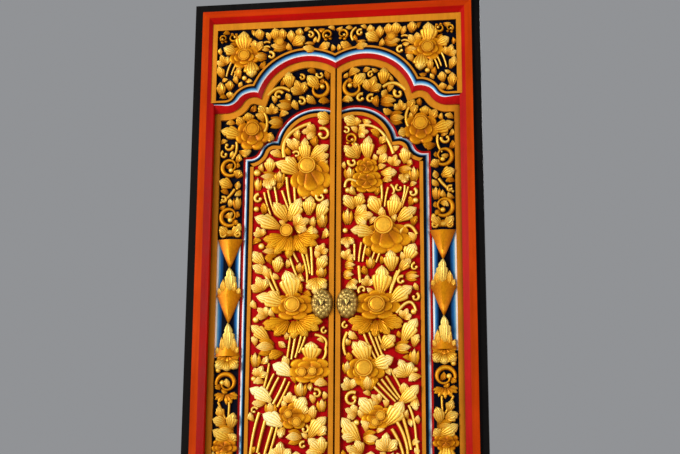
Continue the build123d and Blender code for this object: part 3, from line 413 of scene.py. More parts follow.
def bud(heap, side, ground, u, z, ru, rz):
    """Closed bud: a middle leaf between two others, along its longer side."""
    heap.mark(side * u, z, 0.8 * min(ru, rz))
    for k in (-1, 0, 1):
        tip = 1 - 0.25 * abs(k)
        if rz >= ru:
            ends = (u + 0.35 * k * ru, z - 0.85 * rz, u + 0.75 * k * ru, z + rz * tip)
        else:
            ends = (u - 0.85 * ru, z + 0.35 * k * rz, u + ru * tip, z + 0.75 * k * rz)
        width = min(ru, rz) * (0.9 if k else 1.15)
        petal(heap, side, ground, *ends, width, AMBER if k else GOLD, lobes=False, lift=4.0 * (1 - abs(k)))


def skirt(heap, side, ground, u, z, ru, rz):
    """Fan of hanging leaves."""
    for degree, far in SKIRT_LEAVES:
        a = radians(degree + rng.uniform(-5, 5))
        petal(heap, side, ground, u + 0.25 * ru * cos(a), z + 0.3 * rz, u + far * ru * cos(a),
              z + 0.2 * rz + far * 1.25 * rz * sin(a), 0.42 * ru, AMBER, lobes=True, lift=-2.0)


def cup(heap, side, ground, u, z, ru, rz, heart):
    """Two layers of smooth lobes, painted darker in the folds between them as painted shade."""
    heap.mark(side * u, z, 0.92 * min(ru, rz))
    for k in range(12):
        a = 2 * pi * k / 12
        heap.mark(side * (u + 0.75 * ru * cos(a)), z + 0.75 * rz * sin(a), 0.22 * max(ru, rz))
    hue = rng.uniform(-0.03, 0.05)
    for count, size, base, turn in CUP_LAYERS:
        steps = count * 10
        rows = []
        for r, h, tone in CUP_RINGS:
            row = []
            for i in range(steps):
                a = 2 * pi * i / steps + pi / 2 + 2 * pi * turn / count
                lobe = abs(cos(count * (a - pi / 2 - 2 * pi * turn / count) / 2))
                reach = size * r * (1 + 0.17 * (lobe ** 0.7 - 0.6) * min(r * 1.5, 1))
                x = (u + (heart[0] - u) * (1 - r)) + ru * reach * cos(a)
                y = h + base * (h > 0) - 3.6 * (1 - lobe ** 0.6) * (0.25 + 0.75 * r) * (h > 4)
                row.append((side * x, ground - y, z + (heart[1] - z) * (1 - r) + rz * reach * sin(a),
                            gold(tone * (0.5 + 0.5 * lobe ** 0.5), AMBER, hue)))
            rows.append(row)
        heap.patch(rows, closed=True)


def ribbon(heap, centre, widths, ground, rise, high=0.86, stops=GOLD):
    """Half-round band along a centre line of (x, z), painted lighter along its crown up to the tone high and
    darker to its edges: painted highlight and shade.
    """
    hue = rng.uniform(-0.06, 0.06)
    rows = []
    last = len(centre) - 1
    for i, (x, z) in enumerate(centre):
        heap.mark(x, z, widths[i] / 2)
        before, after = centre[max(i - 1, 0)], centre[min(i + 1, last)]
        dx, dz = after[0] - before[0], after[1] - before[1]
        d = hypot(dx, dz)
        half = widths[i] / 2
        rows.append([(x - dz / d * half * a, ground - rise * (0.3 + 0.7 * sqrt(1 - (a * 0.94) ** 2)),
                      z + dx / d * half * a, gold(0.1 + (high - 0.1) * (1 - abs(a)) ** 0.5, stops, hue))
                     for a in (-1.0, -0.85, -0.45, 0.0, 0.45, 0.85, 1.0)])
    heap.patch(sunk(rows, ground, gold(0.1, stops, hue)))


def stem(heap, side, ground, u0, z0, um, zm, u1, z1, width):
    """Stem on a curve through three points."""
    cu, cz = 2 * um - (u0 + u1) / 2, 2 * zm - (z0 + z1) / 2
    centre = []
    for i in range(11):
        t = i / 10
        u = (1 - t) ** 2 * u0 + 2 * t * (1 - t) * cu + t * t * u1
        z = (1 - t) ** 2 * z0 + 2 * t * (1 - t) * cz + t * t * z1
        centre.append((side * u, z))
    widths = [width * (1.15 - 0.02 * i) for i in range(11)]
    ribbon(heap, centre, widths, ground, 10.0 if width < 10 else 13.0)


def spiral(heap, side, ground, u, z, n, turn, rise, ball, **paint):
    """Band with a ball at its end; turn gives angle, reach and width at a share of its length."""
    turns = [turn(i / n) for i in range(n + 1)]
    centre = [(side * (u + reach * cos(angle)), z + reach * sin(angle)) for angle, reach, _ in turns]
    ribbon(heap, centre, [width for *_, width in turns], ground, rise, **paint)
    bead(heap, 1, ground, *centre[-1], ball)


def curl(heap, side, ground, u, z, r, start, sweep, width):
    """Tapered hook with a ball at its inner end."""
    def turn(t):
        return radians(start + sweep * t), (r - width / 2) * (1 - 0.62 * t), width * (1.1 - 0.5 * t)
    spiral(heap, side, ground, u, z, 20, turn, 13.0, max(4.5, 0.26 * r))


def ring(heap, side, ground, u, z, r, hole_u, hole_z):
    """Scroll: a band that winds once round a dark hollow into a ball, with two leaves on its back."""
    away = atan2(hole_z - z, hole_u - u) if (hole_u, hole_z) != (u, z) else pi / 2

    def turn(t):
        width = r * (0.26 + 0.2 * sin(pi * min(t * 1.6, 1))) * (1 - 0.3 * t)
        return away + 1.2 * pi + 2.1 * pi * t, (r - 6.5) * (1 - 0.6 * t ** 1.5), width
    spiral(heap, side, ground, u, z, 34, turn, 14.0, 0.22 * r, high=0.95, stops=AMBER)
    for bend, reach in ((0.35, 1.02), (-0.5, 0.9)):
        foot, tip = away + pi + bend * 1.6, away + pi + bend
        petal(heap, side, ground, u + 0.45 * r * cos(foot), z + 0.45 * r * sin(foot),
              u + reach * r * cos(tip), z + reach * r * sin(tip), 0.55 * r, AMBER, lobes=True)


def pendant(heap, side, ground, u, top, tip, width):
    """Long pointed leaf with a midrib, hanging or standing, painted lighter along the midrib and darker to
    its edges: painted highlight and shade.
    """
    rows = []
    for s in (i / 25 for i in range(26)):
        half = max(width / 2 * (1 - s) ** 0.92, 0.3)
        rows.append([(side * (u + half * t), ground - 15.0 * (1 - 0.35 * s) * (1 - 0.55 * abs(t)),
                      top - (top - tip) * s, gold(0.3 + 0.5 * (1 - abs(t)) ** 0.7, AMBER))
                     for t in (-1 + j / 4 for j in range(9))])
    heap.patch(sunk(rows, ground, gold(0.05)))


# Which sizes of an element are heights, and which is a width and how much wider it is cut
HEIGHTS = {petal: (1, 3), stem: (1, 3, 5), ring: (1, 4), pendant: (1, 2)}
WIDER = {petal: (4, 1.24), stem: (6, 1.1), curl: (5, 1.3)}
LARGE_PETAL = 44        # width from which a petal starts further back


def carve(heap, side, ground, layout, lift=0.0):
    """All the elements of a layout, moved up by lift."""
    elements = [(kind, sizes) for kind, *copies in layout for sizes in copies]
    hearts = [sizes[:2] for kind, sizes in elements if kind is disc]
    for kind, given in elements:
        sizes = list(given)
        if kind in WIDER:
            index, more = WIDER[kind]
            sizes[index] *= more
        if kind is petal and sizes[4] > LARGE_PETAL:
            sizes[0] -= 0.26 * (sizes[2] - sizes[0])
            sizes[1] -= 0.26 * (sizes[3] - sizes[1])
        if kind is bowl and max(sizes[2:]) >= LARGE_CUP:
            near = min(hearts, key=lambda p: hypot(p[0] - sizes[0], p[1] - sizes[1]), default=None)
            if near and hypot(near[0] - sizes[0], near[1] - sizes[1]) < 0.9 * max(sizes[2:]):
                sizes.append((near[0], near[1] + lift))
        for i in HEIGHTS.get(kind, (1,)):
            sizes[i] += lift
        kind(heap, side, ground, *sizes)


def inside(x, z, loop):
    """Whether a point is inside a polygon."""
    hit = False
    for (x0, z0), (x1, z1) in zip(loop, loop[1:] + loop[:1]):
        if (z0 > z) != (z1 > z) and x < x0 + (z - z0) / (z1 - z0) * (x1 - x0):
            hit = not hit
    return hit


GRID = 6.0              # spacing of the places tried for a small element
EDGE_STEP, EDGE_ROOM = 8, 3.0       # spacing and radius of the circles that keep them off the edges
BATCH = 400


def room(points, among):
    """Distance from each point to the nearest element, taken in batches to spare memory."""
    best = np.full(len(points), 1e9)
    for k in range(0, len(among), BATCH):
        x, z, r = among[k:k + BATCH].T
        gap = np.hypot(points[:, None, 0] - x, points[:, None, 1] - z) - r
        best = np.minimum(best, gap.min(axis=1))
    return best


def fill(heap, ground, loops, least, keep_off=()):
    """Small leaves and curls in the widest gaps inside the first loop and outside the others."""
    (x0, z0), (x1, z1) = np.min(loops[0], axis=0), np.max(loops[0], axis=0)
    spots = np.array([(x, z) for x in np.arange(x0 + GRID, x1, GRID) for z in np.arange(z0 + GRID, z1, GRID)
                      if inside(x, z, loops[0]) and not any(inside(x, z, loop) for loop in loops[1:])
                      and not any(left < x < right and low < z < top for left, low, right, top in keep_off)])
    marks = list(heap.marks)
    for loop in loops:
        for (x0, z0), (x1, z1) in zip(loop, loop[1:] + loop[:1]):
            count = max(1, int(hypot(x1 - x0, z1 - z0) / EDGE_STEP))
            marks += [(x0 + (x1 - x0) * i / count, z0 + (z1 - z0) * i / count, EDGE_ROOM)
                      for i in range(count)]
    marks = np.array(marks)
    free = room(spots, marks)
    while free.max() >= least:
        i = int(free.argmax())
        before = len(heap.marks)
        small_element(heap, ground, *spots[i], float(free[i]), marks)
        fresh = np.array(heap.marks[before:])
        marks = np.vstack((marks, fresh))
        free = np.minimum(free, room(spots, fresh))


def small_element(heap, ground, x, z, d, marks):
    """Leaf, curl or three leaves in a gap of radius d, along the way in which there is most room."""
    angles = [pi * k / 8 for k in range(16)]
    ends = np.array([(x + reach * d * cos(a), z + reach * d * sin(a))
                     for a in angles for reach in (1.0, 1.7)])
    score = np.clip(room(ends, marks), -6, d).reshape(-1, 2).sum(axis=1)
    score = score + np.array([0.5 * d * sin(a) for a in angles])
    a = angles[int(score.argmax())]
    kind = rng.random()
    if d > 19:
        bx, bz = x - 0.8 * d * cos(a), z - 0.8 * d * sin(a)
        for turn, far in ((-0.75, 1.15), (0.75, 1.15), (0.0, 1.4)):
            tip = bx + far * 1.4 * d * cos(a + turn), bz + far * 1.4 * d * sin(a + turn)
            petal(heap, 1, ground, bx, bz, *tip, 1.25 * d, GOLD, lobes=True, lift=0.0 if turn else 3.0)
    elif kind < 0.35 and d > 13:
        curl(heap, 1, ground, x, z, d * 1.3, degrees(a), rng.choice((-1, 1)) * 260, 0.72 * d)
    else:
        back, reach = 1.15 * d, d * (1.7 if score.max() > 0.8 * d else 1.3)
        petal(heap, 1, ground, x - back * cos(a), z - back * sin(a), x + reach * cos(a), z + reach * sin(a),
              1.9 * d, rng.choice((GOLD, GOLD, AMBER)), lobes=d > 12, bow=0.24)
    heap.mark(x, z, 0.8 * d)


# Layouts: groups of one kind, each element with its distances from the middle, heights and sizes

ROOT = [
    (stem, (130, 380, 148, 330, 160, 285, 10), (60, 350, 110, 330, 150, 285, 9)),
    (petal, (168, 300, 172, 385, 40), (190, 295, 262, 350, 44), (135, 295, 72, 345, 44),
     (205, 280, 290, 290, 36), (120, 280, 40, 290, 36)),
]
LEFT_PANEL = [
    # Crest under the panel's arch
    (petal, (25, 1735, 68, 1760, 34), (25, 1733, 66, 1730, 26)),
    (stem, (190, 1600, 178, 1680, 93, 1727, 13)), (curl, (48, 1682, 32, 60, 300, 10)),
    (petal, (150, 1625, 182, 1670, 26), (140, 1625, 157, 1672, 24)),
    # Open flower with a bead below
    (bowl, (90, 1520, 66, 66)),
    (petal, (108, 1598, 113, 1670, 36), (80, 1600, 26, 1640, 36), (75, 1585, 26, 1605, 28),
     (140, 1560, 184, 1599, 34), (150, 1545, 221, 1580, 44)), (disc, (104, 1565, 28)),
    (bead, (36, 1468, 10)),
    # Small flower
    (bowl, (245, 1530, 30, 22)),
    (petal, (243, 1545, 242, 1599, 34), (240, 1530, 265, 1490, 26), (238, 1530, 225, 1493, 26),
     (243, 1520, 243, 1478, 30)), (bead, (290, 1545, 13)), (bowl, (286, 1500, 15, 26), (205, 1525, 20, 26)),
    # Stems between
    (stem, (248, 1478, 236, 1430, 222, 1392, 7), (262, 1470, 252, 1430, 236, 1385, 7),
     (225, 1490, 215, 1440, 212, 1400, 7), (196, 1475, 184, 1440, 163, 1385, 8),
     (180, 1525, 172, 1460, 158, 1400, 9), (152, 1500, 148, 1440, 144, 1405, 8)),
    # Second flower
    (bowl, (160, 1290, 100, 55)),
    (petal, (185, 1375, 225, 1430, 40), (160, 1380, 126, 1443, 42), (95, 1395, 88, 1449, 40),
     (55, 1375, 27, 1436, 36), (220, 1345, 294, 1377, 44), (225, 1350, 262, 1372, 30)),
    (bead, (289, 1408, 10)), (bowl, (47, 1360, 20, 30)), (disc, (176, 1325, 20)),
    (petal, (110, 1315, 62, 1318, 34)), (bowl, (232, 1250, 30, 24)), (bead, (268, 1270, 11)),
    # Leaves and gathered stems
    (petal, (258, 1206, 296, 1250, 34), (250, 1170, 298, 1199, 30), (235, 1150, 258, 1200, 24),
     (212, 1175, 198, 1231, 34)),
    (stem, (258, 1174, 230, 1125, 203, 1074, 9), (238, 1186, 220, 1140, 200, 1097, 9),
     (173, 1254, 149, 1186, 128, 1135, 8), (154, 1247, 142, 1225, 133, 1209, 8),
     (126, 1260, 104, 1186, 101, 1135, 8), (107, 1254, 97, 1205, 90, 1167, 8),
     (88, 1266, 84, 1210, 82, 1161, 8)), (bowl, (126, 1188, 16, 20)), (petal, (60, 1178, 30, 1231, 34)),
    (bowl, (48, 1170, 20, 20)),
    # Third flower
    (bowl, (150, 1050, 68, 44), (150, 985, 105, 42)),
    (petal, (158, 1098, 176, 1178, 60), (195, 1062, 282, 1087, 46), (200, 1070, 232, 1103, 34)),
    (disc, (152, 1056, 25)), (bead, (283, 1004, 11)), (petal, (248, 940, 298, 983, 36)),
    (stem, (152, 985, 160, 925, 168, 865, 8), (132, 985, 143, 925, 153, 862, 8),
     (112, 980, 125, 920, 139, 868, 8), (95, 980, 108, 930, 126, 885, 8)), (bowl, (245, 905, 34, 32)),
    (petal, (195, 905, 181, 924, 26)), (bowl, (282, 860, 18, 28)),
    # Fourth flower
    (bowl, (88, 825, 66, 42)),
    (petal, (165, 815, 218, 844, 42, PALE), (165, 835, 178, 875, 24), (85, 870, 82, 923, 56)),
    (stem, (70, 948, 34, 932, 32, 900, 9), (32, 900, 34, 872, 55, 850, 9)),
    (disc, (114, 817, 14), (77, 820, 13)), (bowl, (118, 755, 25, 28)), (curl, (62, 742, 22, 60, 300, 9)),
    (bowl, (44, 700, 18, 24)),
    (stem, (251, 757, 240, 800, 232, 848, 8), (244, 745, 225, 790, 214, 812, 8),
     (232, 729, 215, 765, 197, 800, 8), (216, 707, 192, 752, 173, 796, 8),
     (200, 697, 178, 740, 158, 784, 8)),
    # Fifth flower
    (bowl, (140, 665, 52, 40)), (petal, (238, 725, 298, 761, 40, PALE), (240, 715, 290, 710, 24)),
    (bowl, (225, 690, 22, 25)), (petal, (195, 640, 250, 672, 44, PALE)), (bead, (286, 795, 9)),
    (disc, (160, 672, 12), (130, 645, 14)), (petal, (130, 690, 101, 729, 44), (115, 670, 95, 700, 30)),
    (bowl, (138, 592, 30, 28)), (bead, (72, 645, 10)),
    (petal, (75, 605, 28, 662, 40), (60, 600, 28, 630, 30)),
    (stem, (264, 678, 280, 620, 290, 560, 9), (242, 650, 255, 600, 268, 540, 10),
     (216, 627, 230, 580, 242, 535, 10), (200, 627, 212, 580, 226, 535, 8)),
    # Lowest flower and the leafy root
    (bowl, (120, 420, 74, 46)), (disc, (122, 440, 24)),
    (petal, (125, 475, 130, 545, 56), (80, 465, 40, 520, 42), (170, 455, 225, 500, 44),
     (60, 430, 28, 450, 30)),
    (stem, (290, 560, 282, 440, 222, 330, 9), (262, 540, 248, 430, 200, 330, 9)), *ROOT,
]
RIGHT_PANEL = [
    # Crest under the panel's arch
    (petal, (70, 1722, 30, 1740, 36), (75, 1710, 77, 1742, 26)),
    (stem, (210, 1600, 160, 1690, 85, 1710, 10)), (ring, (54, 1662, 26, 54, 1662)),
    # Cup with a bead below
    (bowl, (113, 1500, 50, 38)),
    (petal, (85, 1590, 31, 1634, 34), (85, 1595, 70, 1646, 30), (118, 1600, 122, 1668, 40),
     (160, 1640, 182, 1665, 24), (158, 1568, 185, 1599, 28)),
    (bowl, (113, 1552, 36, 32), (50, 1530, 22, 26)), (petal, (165, 1530, 222, 1530, 34)),
    (stem, (75, 1500, 45, 1507, 34, 1480, 10)), (bead, (45, 1468, 10)),
    # Small flower
    (bowl, (252, 1540, 26, 18)),
    (petal, (253, 1562, 247, 1620, 34), (262, 1555, 275, 1574, 20), (250, 1525, 230, 1502, 22),
     (252, 1525, 263, 1505, 22), (250, 1520, 247, 1487, 26)), (bowl, (282, 1520, 18, 30)),
    # Stems between
    (stem, (262, 1475, 252, 1440, 238, 1400, 7), (250, 1480, 245, 1440, 230, 1405, 7),
     (200, 1485, 212, 1465, 205, 1450, 8), (165, 1490, 168, 1450, 165, 1420, 8),
     (190, 1475, 182, 1440, 178, 1405, 7)),
    # Second flower
    (bowl, (185, 1290, 75, 52)),
    (petal, (65, 1400, 31, 1449, 34), (75, 1405, 97, 1455, 34), (150, 1395, 125, 1443, 44),
     (205, 1385, 216, 1449, 44), (238, 1360, 291, 1396, 40)), (bead, (288, 1424, 10)),
    (bowl, (44, 1370, 18, 32)), (disc, (174, 1336, 30)), (petal, (125, 1310, 56, 1321, 40)),
    (stem, (230, 1305, 262, 1333, 292, 1300, 12)), (bead, (36, 1320, 9)),
    # Leaves and gathered stems
    (petal, (262, 1218, 286, 1265, 42), (228, 1170, 270, 1212, 30), (200, 1185, 197, 1244, 44)),
    (bowl, (272, 1150, 26, 18)),
    (stem, (235, 1183, 210, 1130, 193, 1080, 9), (222, 1170, 205, 1130, 197, 1100, 9)),
    (bowl, (52, 1195, 20, 18), (46, 1160, 20, 18), (126, 1200, 17, 22)),
    (stem, (69, 1270, 69, 1240, 69, 1212, 7), (94, 1276, 88, 1240, 85, 1206, 7),
     (112, 1272, 104, 1240, 98, 1206, 7), (146, 1254, 136, 1226, 126, 1200, 7),
     (165, 1254, 155, 1226, 146, 1202, 7), (85, 1190, 88, 1150, 90, 1130, 10)),
    # Third flower
    (bowl, (150, 1050, 72, 46), (145, 985, 95, 40)),
    (petal, (160, 1105, 168, 1190, 56), (212, 1070, 274, 1113, 44)), (disc, (149, 1052, 26)),
    (stem, (218, 1020, 262, 1058, 286, 1026, 10)), (bead, (278, 1024, 10)),
    (petal, (250, 935, 290, 999, 42)),
    (stem, (92, 980, 115, 920, 148, 856, 8), (110, 985, 135, 920, 160, 858, 8),
     (128, 985, 150, 920, 170, 868, 8), (142, 980, 160, 930, 178, 890, 8), (45, 955, 32, 915, 40, 875, 10)),
    (bowl, (44, 920, 14, 14)), (petal, (175, 905, 213, 940, 40)),
    (bowl, (238, 900, 30, 26), (280, 865, 18, 30)), (bead, (283, 822, 9)),
    # Fourth flower
    (bowl, (110, 820, 58, 46)), (petal, (95, 865, 66, 921, 40), (108, 865, 88, 925, 50)),
    (bowl, (46, 830, 20, 24)), (petal, (148, 845, 206, 864, 44)), (disc, (104, 830, 28)),
    (bowl, (115, 775, 28, 28)), (curl, (62, 722, 32, 60, 330, 10)),
    (stem, (139, 764, 165, 738, 190, 713, 8), (152, 777, 182, 745, 213, 713, 8),
     (165, 790, 192, 755, 222, 720, 8), (181, 800, 204, 763, 229, 726, 8),
     (197, 825, 214, 792, 232, 758, 8)),
    # Fifth flower
    (bowl, (150, 660, 48, 36)),
    (petal, (240, 720, 293, 768, 40), (245, 730, 242, 777, 30), (190, 650, 240, 712, 50),
     (125, 680, 88, 726, 44)), (disc, (162, 665, 14), (142, 643, 12)), (bowl, (125, 590, 28, 26)),
    (bead, (78, 642, 10)), (petal, (75, 595, 28, 659, 44), (80, 590, 28, 595, 34)),
    (stem, (200, 620, 225, 575, 238, 535, 10), (217, 645, 240, 600, 253, 550, 10),
     (238, 660, 255, 600, 265, 550, 10), (258, 700, 275, 650, 282, 590, 8)),
    # Lowest flower and the leafy root
    (bowl, (120, 420, 74, 46)), (disc, (122, 440, 24)),
    (petal, (125, 475, 130, 545, 56), (80, 465, 40, 520, 42), (170, 455, 205, 540, 40),
     (60, 430, 28, 450, 30)),
    (stem, (282, 590, 282, 440, 222, 330, 9), (253, 550, 244, 430, 200, 330, 9)), *ROOT,
]
BORDER_TOP = [
    # Band over the panel's arch
    (petal, (173, 1880, 177, 1928, 36)), (ring, (62, 1858, 40, 62, 1850)),
    (petal, (75, 1870, 107, 1908, 36)), (curl, (128, 1905, 17, 60, 300, 8)),
    (stem, (255, 1840, 215, 1868, 172, 1855, 12)), (bowl, (190, 1800, 30, 24)),
    (petal, (190, 1825, 168, 1836, 26)), (curl, (128, 1812, 22, 60, 300, 9)),
    (petal, (262, 1765, 288, 1800, 28)), (bowl, (222, 1735, 28, 26)),
    (stem, (265, 1700, 256, 1740, 272, 1780, 10)),
    # Corner flower
    (bowl, (310, 1690, 55, 52)), (disc, (309, 1711, 24)),
    (petal, (325, 1740, 328, 1774, 34), (345, 1725, 368, 1758, 30), (365, 1690, 428, 1709, 40),
     (262, 1680, 228, 1675, 30)), (curl, (400, 1650, 24, 170, 230, 9)),
    (stem, (370, 1665, 370, 1630, 385, 1600, 8)),
]
BORDER_STRIP = [
    # Scrolls over the crown
    (ring, (390, 1570, 40, 400, 1574)),
    (petal, (366, 1528, 352, 1556, 30), (392, 1500, 429, 1516, 36), (372, 1502, 350, 1498, 26)),
    (stem, (372, 1486, 396, 1456, 424, 1436, 9)), (bowl, (362, 1432, 16, 26)),
    (curl, (412, 1446, 18, 60, 300, 8)), (ring, (388, 1384, 42, 402, 1390)), (bead, (352, 1350, 8)),
    # Crown and the hanging lozenge
    (petal, (378, 1312, 344, 1346, 28), (388, 1312, 422, 1346, 28)), (bowl, (383, 1322, 30, 14)),
    (curl, (412, 1318, 20, 120, 260, 8), (354, 1318, 20, 60, -260, 8)),
    (pendant, (383, 1298, 1190, 92), (383, 1088, 1172, 92)),
    (petal, (356, 1090, 345, 1122, 15), (410, 1090, 421, 1122, 15), (368, 1094, 361, 1152, 20),
     (398, 1094, 405, 1152, 20), (383, 1098, 383, 1194, 32, PALE)),
    (pendant, (383, 1097, 990, 90), (383, 876, 966, 90)),
    (petal, (356, 876, 345, 910, 15), (410, 876, 421, 910, 15), (368, 880, 361, 944, 20),
     (398, 880, 405, 944, 20), (383, 886, 383, 993, 32, PALE)),
    # Leafy foot of the lozenge
    (bowl, (383, 872, 42, 20)),
    (petal, (372, 862, 346, 832, 34), (394, 862, 422, 832, 34), (383, 858, 383, 822, 34)),
    (ring, (384, 780, 42, 372, 792)), (bead, (414, 826, 9)),
    # Lower flower
    (bowl, (385, 735, 42, 24)),
    (stem, (412, 715, 395, 680, 383, 655, 7), (372, 715, 372, 690, 374, 655, 7)),
    (petal, (380, 640, 428, 655, 32), (366, 620, 354, 678, 32), (392, 660, 410, 700, 26)),
    (bowl, (383, 612, 34, 26)), (petal, (375, 590, 426, 618, 38), (368, 578, 346, 604, 30)),
    (bowl, (385, 560, 40, 28)), (petal, (384, 532, 384, 440, 60)),
    (curl, (414, 500, 18, 60, 300, 8), (354, 500, 18, 120, -300, 8)), (ring, (388, 400, 40, 400, 405)),
    (bowl, (384, 330, 40, 26)),
    (petal, (384, 318, 384, 250, 50), (370, 340, 354, 372, 26), (396, 340, 420, 372, 26)),
]
BORDER_FOOT = [
    (petal, (384, 225, 384, 150, 60)), (bowl, (384, 235, 36, 20)),
    (petal, (340, 180, 250, 180, 44), (240, 180, 150, 180, 44), (140, 180, 40, 180, 44)),
    (bead, (345, 180, 14), (245, 180, 14), (145, 180, 14), (34, 180, 10)),
]
TRANSOM = [
    # Middle
    (ring, (28, 2056, 24, 28, 2056)), (stem, (66, 2030, 60, 2058, 78, 2080, 8)),
    (curl, (92, 2058, 18, 60, 300, 8)), (bowl, (95, 2025, 20, 8)),
    (petal, (150, 2030, 113, 2050, 36), (162, 2035, 165, 2080, 26), (136, 2052, 130, 2086, 24),
     (60, 2005, 20, 2022, 26), (70, 2000, 120, 2010, 24)),
    # Second flower
    (bowl, (208, 2022, 32, 26)), (petal, (222, 2045, 226, 2089, 34), (196, 2045, 198, 2086, 30)),
    (disc, (207, 2033, 14)), (petal, (280, 2050, 286, 2090, 30)),
    (stem, (268, 2036, 256, 2040, 244, 2036, 7), (268, 2018, 256, 2022, 244, 2018, 7)),
    # Great flower
    (bowl, (340, 1985, 50, 42)),
    (petal, (340, 2018, 343, 2083, 50), (372, 2000, 418, 2020, 34), (303, 2010, 301, 2047, 26),
     (298, 2002, 272, 2040, 26)), (bowl, (277, 1982, 24, 20)), (petal, (316, 1955, 310, 1903, 46)),
    (disc, (340, 1988, 19)),
    # Corner
    (ring, (421, 2060, 19, 421, 2060), (384, 2062, 22, 386, 2056)),
    (stem, (390, 1965, 400, 1940, 407, 1910, 6), (368, 1962, 380, 1940, 388, 1915, 6),
     (360, 1950, 370, 1930, 378, 1905, 6)),
    (petal, (420, 1905, 438, 1950, 24), (424, 1835, 427, 1887, 28), (392, 1824, 390, 1850, 24),
     (394, 1855, 390, 1892, 26)), (bead, (338, 1900, 9)), (petal, (360, 1868, 348, 1888, 14)),
]


# Materials

def node(tree, kind, inputs, **settings):
    """A shader node with its settings, input values and incoming links."""
    made = tree.nodes.new(kind)
    for key, value in settings.items():
        setattr(made, key, value)
    for key, value in inputs.items():
        if isinstance(value, bpy.types.NodeSocket):
            tree.links.new(value, made.inputs[key])
        else:
            made.inputs[key].default_value = value
    return made


def start_material(name, **sockets):
    """A material with its node tree and its shader, set where it is the same all over."""
    material = bpy.data.materials.new(name)
    material.use_nodes = True
    tree = material.node_tree
    shader = tree.nodes["Principled BSDF"]
    for key, value in sockets.items():
        shader.inputs[key.replace("_", " ")].default_value = value
    return material, tree, shader


def noise_at(tree, scale, stretch=(1, 1, 1), detail=4.0, rough=0.55):
    """Noise in the piece's own coordinates."""
    where = node(tree, "ShaderNodeTexCoord", {}).outputs["Object"]
    place = node(tree, "ShaderNodeMapping", {"Vector": where, "Scale": stretch}).outputs["Vector"]
    inputs = {"Vector": place, "Scale": scale, "Detail": detail, "Roughness": rough}
    return node(tree, "ShaderNodeTexNoise", inputs).outputs["Fac"]


def spread(tree, value, low, high):
    """The middle of the noise stretched between two values."""
    inputs = {"Value": value, "From Min": 0.3, "From Max": 0.7, "To Min": low, "To Max": high}
    return node(tree, "ShaderNodeMapRange", inputs).outputs["Result"]


def tinted(tree, colour, value):
    """One colour multiplied by another or by a grey value."""
    mix = node(tree, "ShaderNodeMix", {}, data_type="RGBA", blend_type="MULTIPLY")
    mix.inputs["Factor"].default_value = 1.0
    tree.links.new(colour, mix.inputs["A"])
    tree.links.new(value, mix.inputs["B"])
    return mix.outputs["Result"]


def plain(tree, colour):
    """One linear colour."""
    made = node(tree, "ShaderNodeRGB", {})
    made.outputs[0].default_value = (*colour, 1)
    return made.outputs[0]


def ramp(tree, value, dark, light, start, end):
    """Colour between dark and light where the value runs from start to end."""
    made = node(tree, "ShaderNodeValToRGB", {"Fac": value})
    for stop, position, colour in zip(made.color_ramp.elements, (start, end), (dark, light)):
        stop.position = position
        stop.color = (*linear(colour), 1)
    return made.outputs["Color"]


def join(tree, shader, colour, rough, height, strength, distance):
    """Join colour, roughness and bump to the shader."""
    normal = node(tree, "ShaderNodeBump", {"Height": height, "Strength": strength, "Distance": distance})
    for source, key in ((colour, "Base Color"), (rough, "Roughness"), (normal.outputs["Normal"], "Normal")):
        tree.links.new(source, shader.inputs[key])


def painted(name, colour=None, grain=(60, 60, 3), vary=(0.8, 1.1), rough=(0.26, 0.42), metallic=0.0,
            coat=0.02, specular=0.05, ripple=0.25, tint_and_shade=None):
    """Paint laid on with a brush; its colour comes from the mesh where none is given."""
    material, tree, shader = start_material(
        name, Metallic=metallic, Coat_Weight=coat, Coat_Roughness=0.12, Specular_IOR_Level=specular)
    if colour is None:
        source = node(tree, "ShaderNodeAttribute", {}, attribute_name="tint").outputs["Color"]
    else:
        source = plain(tree, linear(colour))
    blotch = noise_at(tree, 9.0, (1, 1, 1), 3.0)
    source = tinted(tree, source, spread(tree, noise_at(tree, 1.0, grain, 5.0), *vary))
    source = tinted(tree, source, spread(tree, blotch, 0.9, 1.08))
    # Optional tint, partly the paint's own colour and partly painted shade
    if tint_and_shade:
        source = tinted(tree, source, plain(tree, tint_and_shade))
    brushwork = noise_at(tree, 1.0, tuple(g * 4 for g in grain), 3.0)
    join(tree, shader, source, spread(tree, blotch, *rough), brushwork, ripple, 0.0004)
    return material


def wood(name, along, dark, light):
    """Oiled wood with its grain along an axis."""
    material, tree, shader = start_material(name)
    stretch = [26.0, 26.0, 26.0]
    stretch[along] = 1.6
    grain = noise_at(tree, 1.0, tuple(stretch), 6.0, 0.62)
    fibre = noise_at(tree, 5.0, tuple(s * 2.2 for s in stretch), 3.0)
    colour = tinted(tree, ramp(tree, grain, dark, light, 0.3, 0.7), spread(tree, fibre, 0.78, 1.1))
    join(tree, shader, colour, spread(tree, fibre, 0.38, 0.6), fibre, 0.3, 0.0005)
    return material


def metal(name, dark, light, scale, rough, metallic):
    """Aged metal, duller in its dark blotches."""
    material, tree, shader = start_material(name, Metallic=metallic)
    patches = noise_at(tree, scale, (1, 1, 1), 6.0)
    colour = ramp(tree, patches, dark, light, 0.35, 0.68)
    join(tree, shader, colour, spread(tree, patches, *rough), noise_at(tree, scale * 6), 0.25, 0.0004)
    return material


GILT = {"grain": (160, 160, 110), "rough": (0.32, 0.48), "metallic": 0.3, "coat": 0.0, "specular": 0.08,
        "ripple": 0.3}
LEVEL = (3, 60, 60)
CRIMSON_BASE, CRIMSON_VARY = (160, 4, 0), (0.76, 1.12)
gilt = painted("gold_paint", vary=(0.84, 1.1), **GILT)
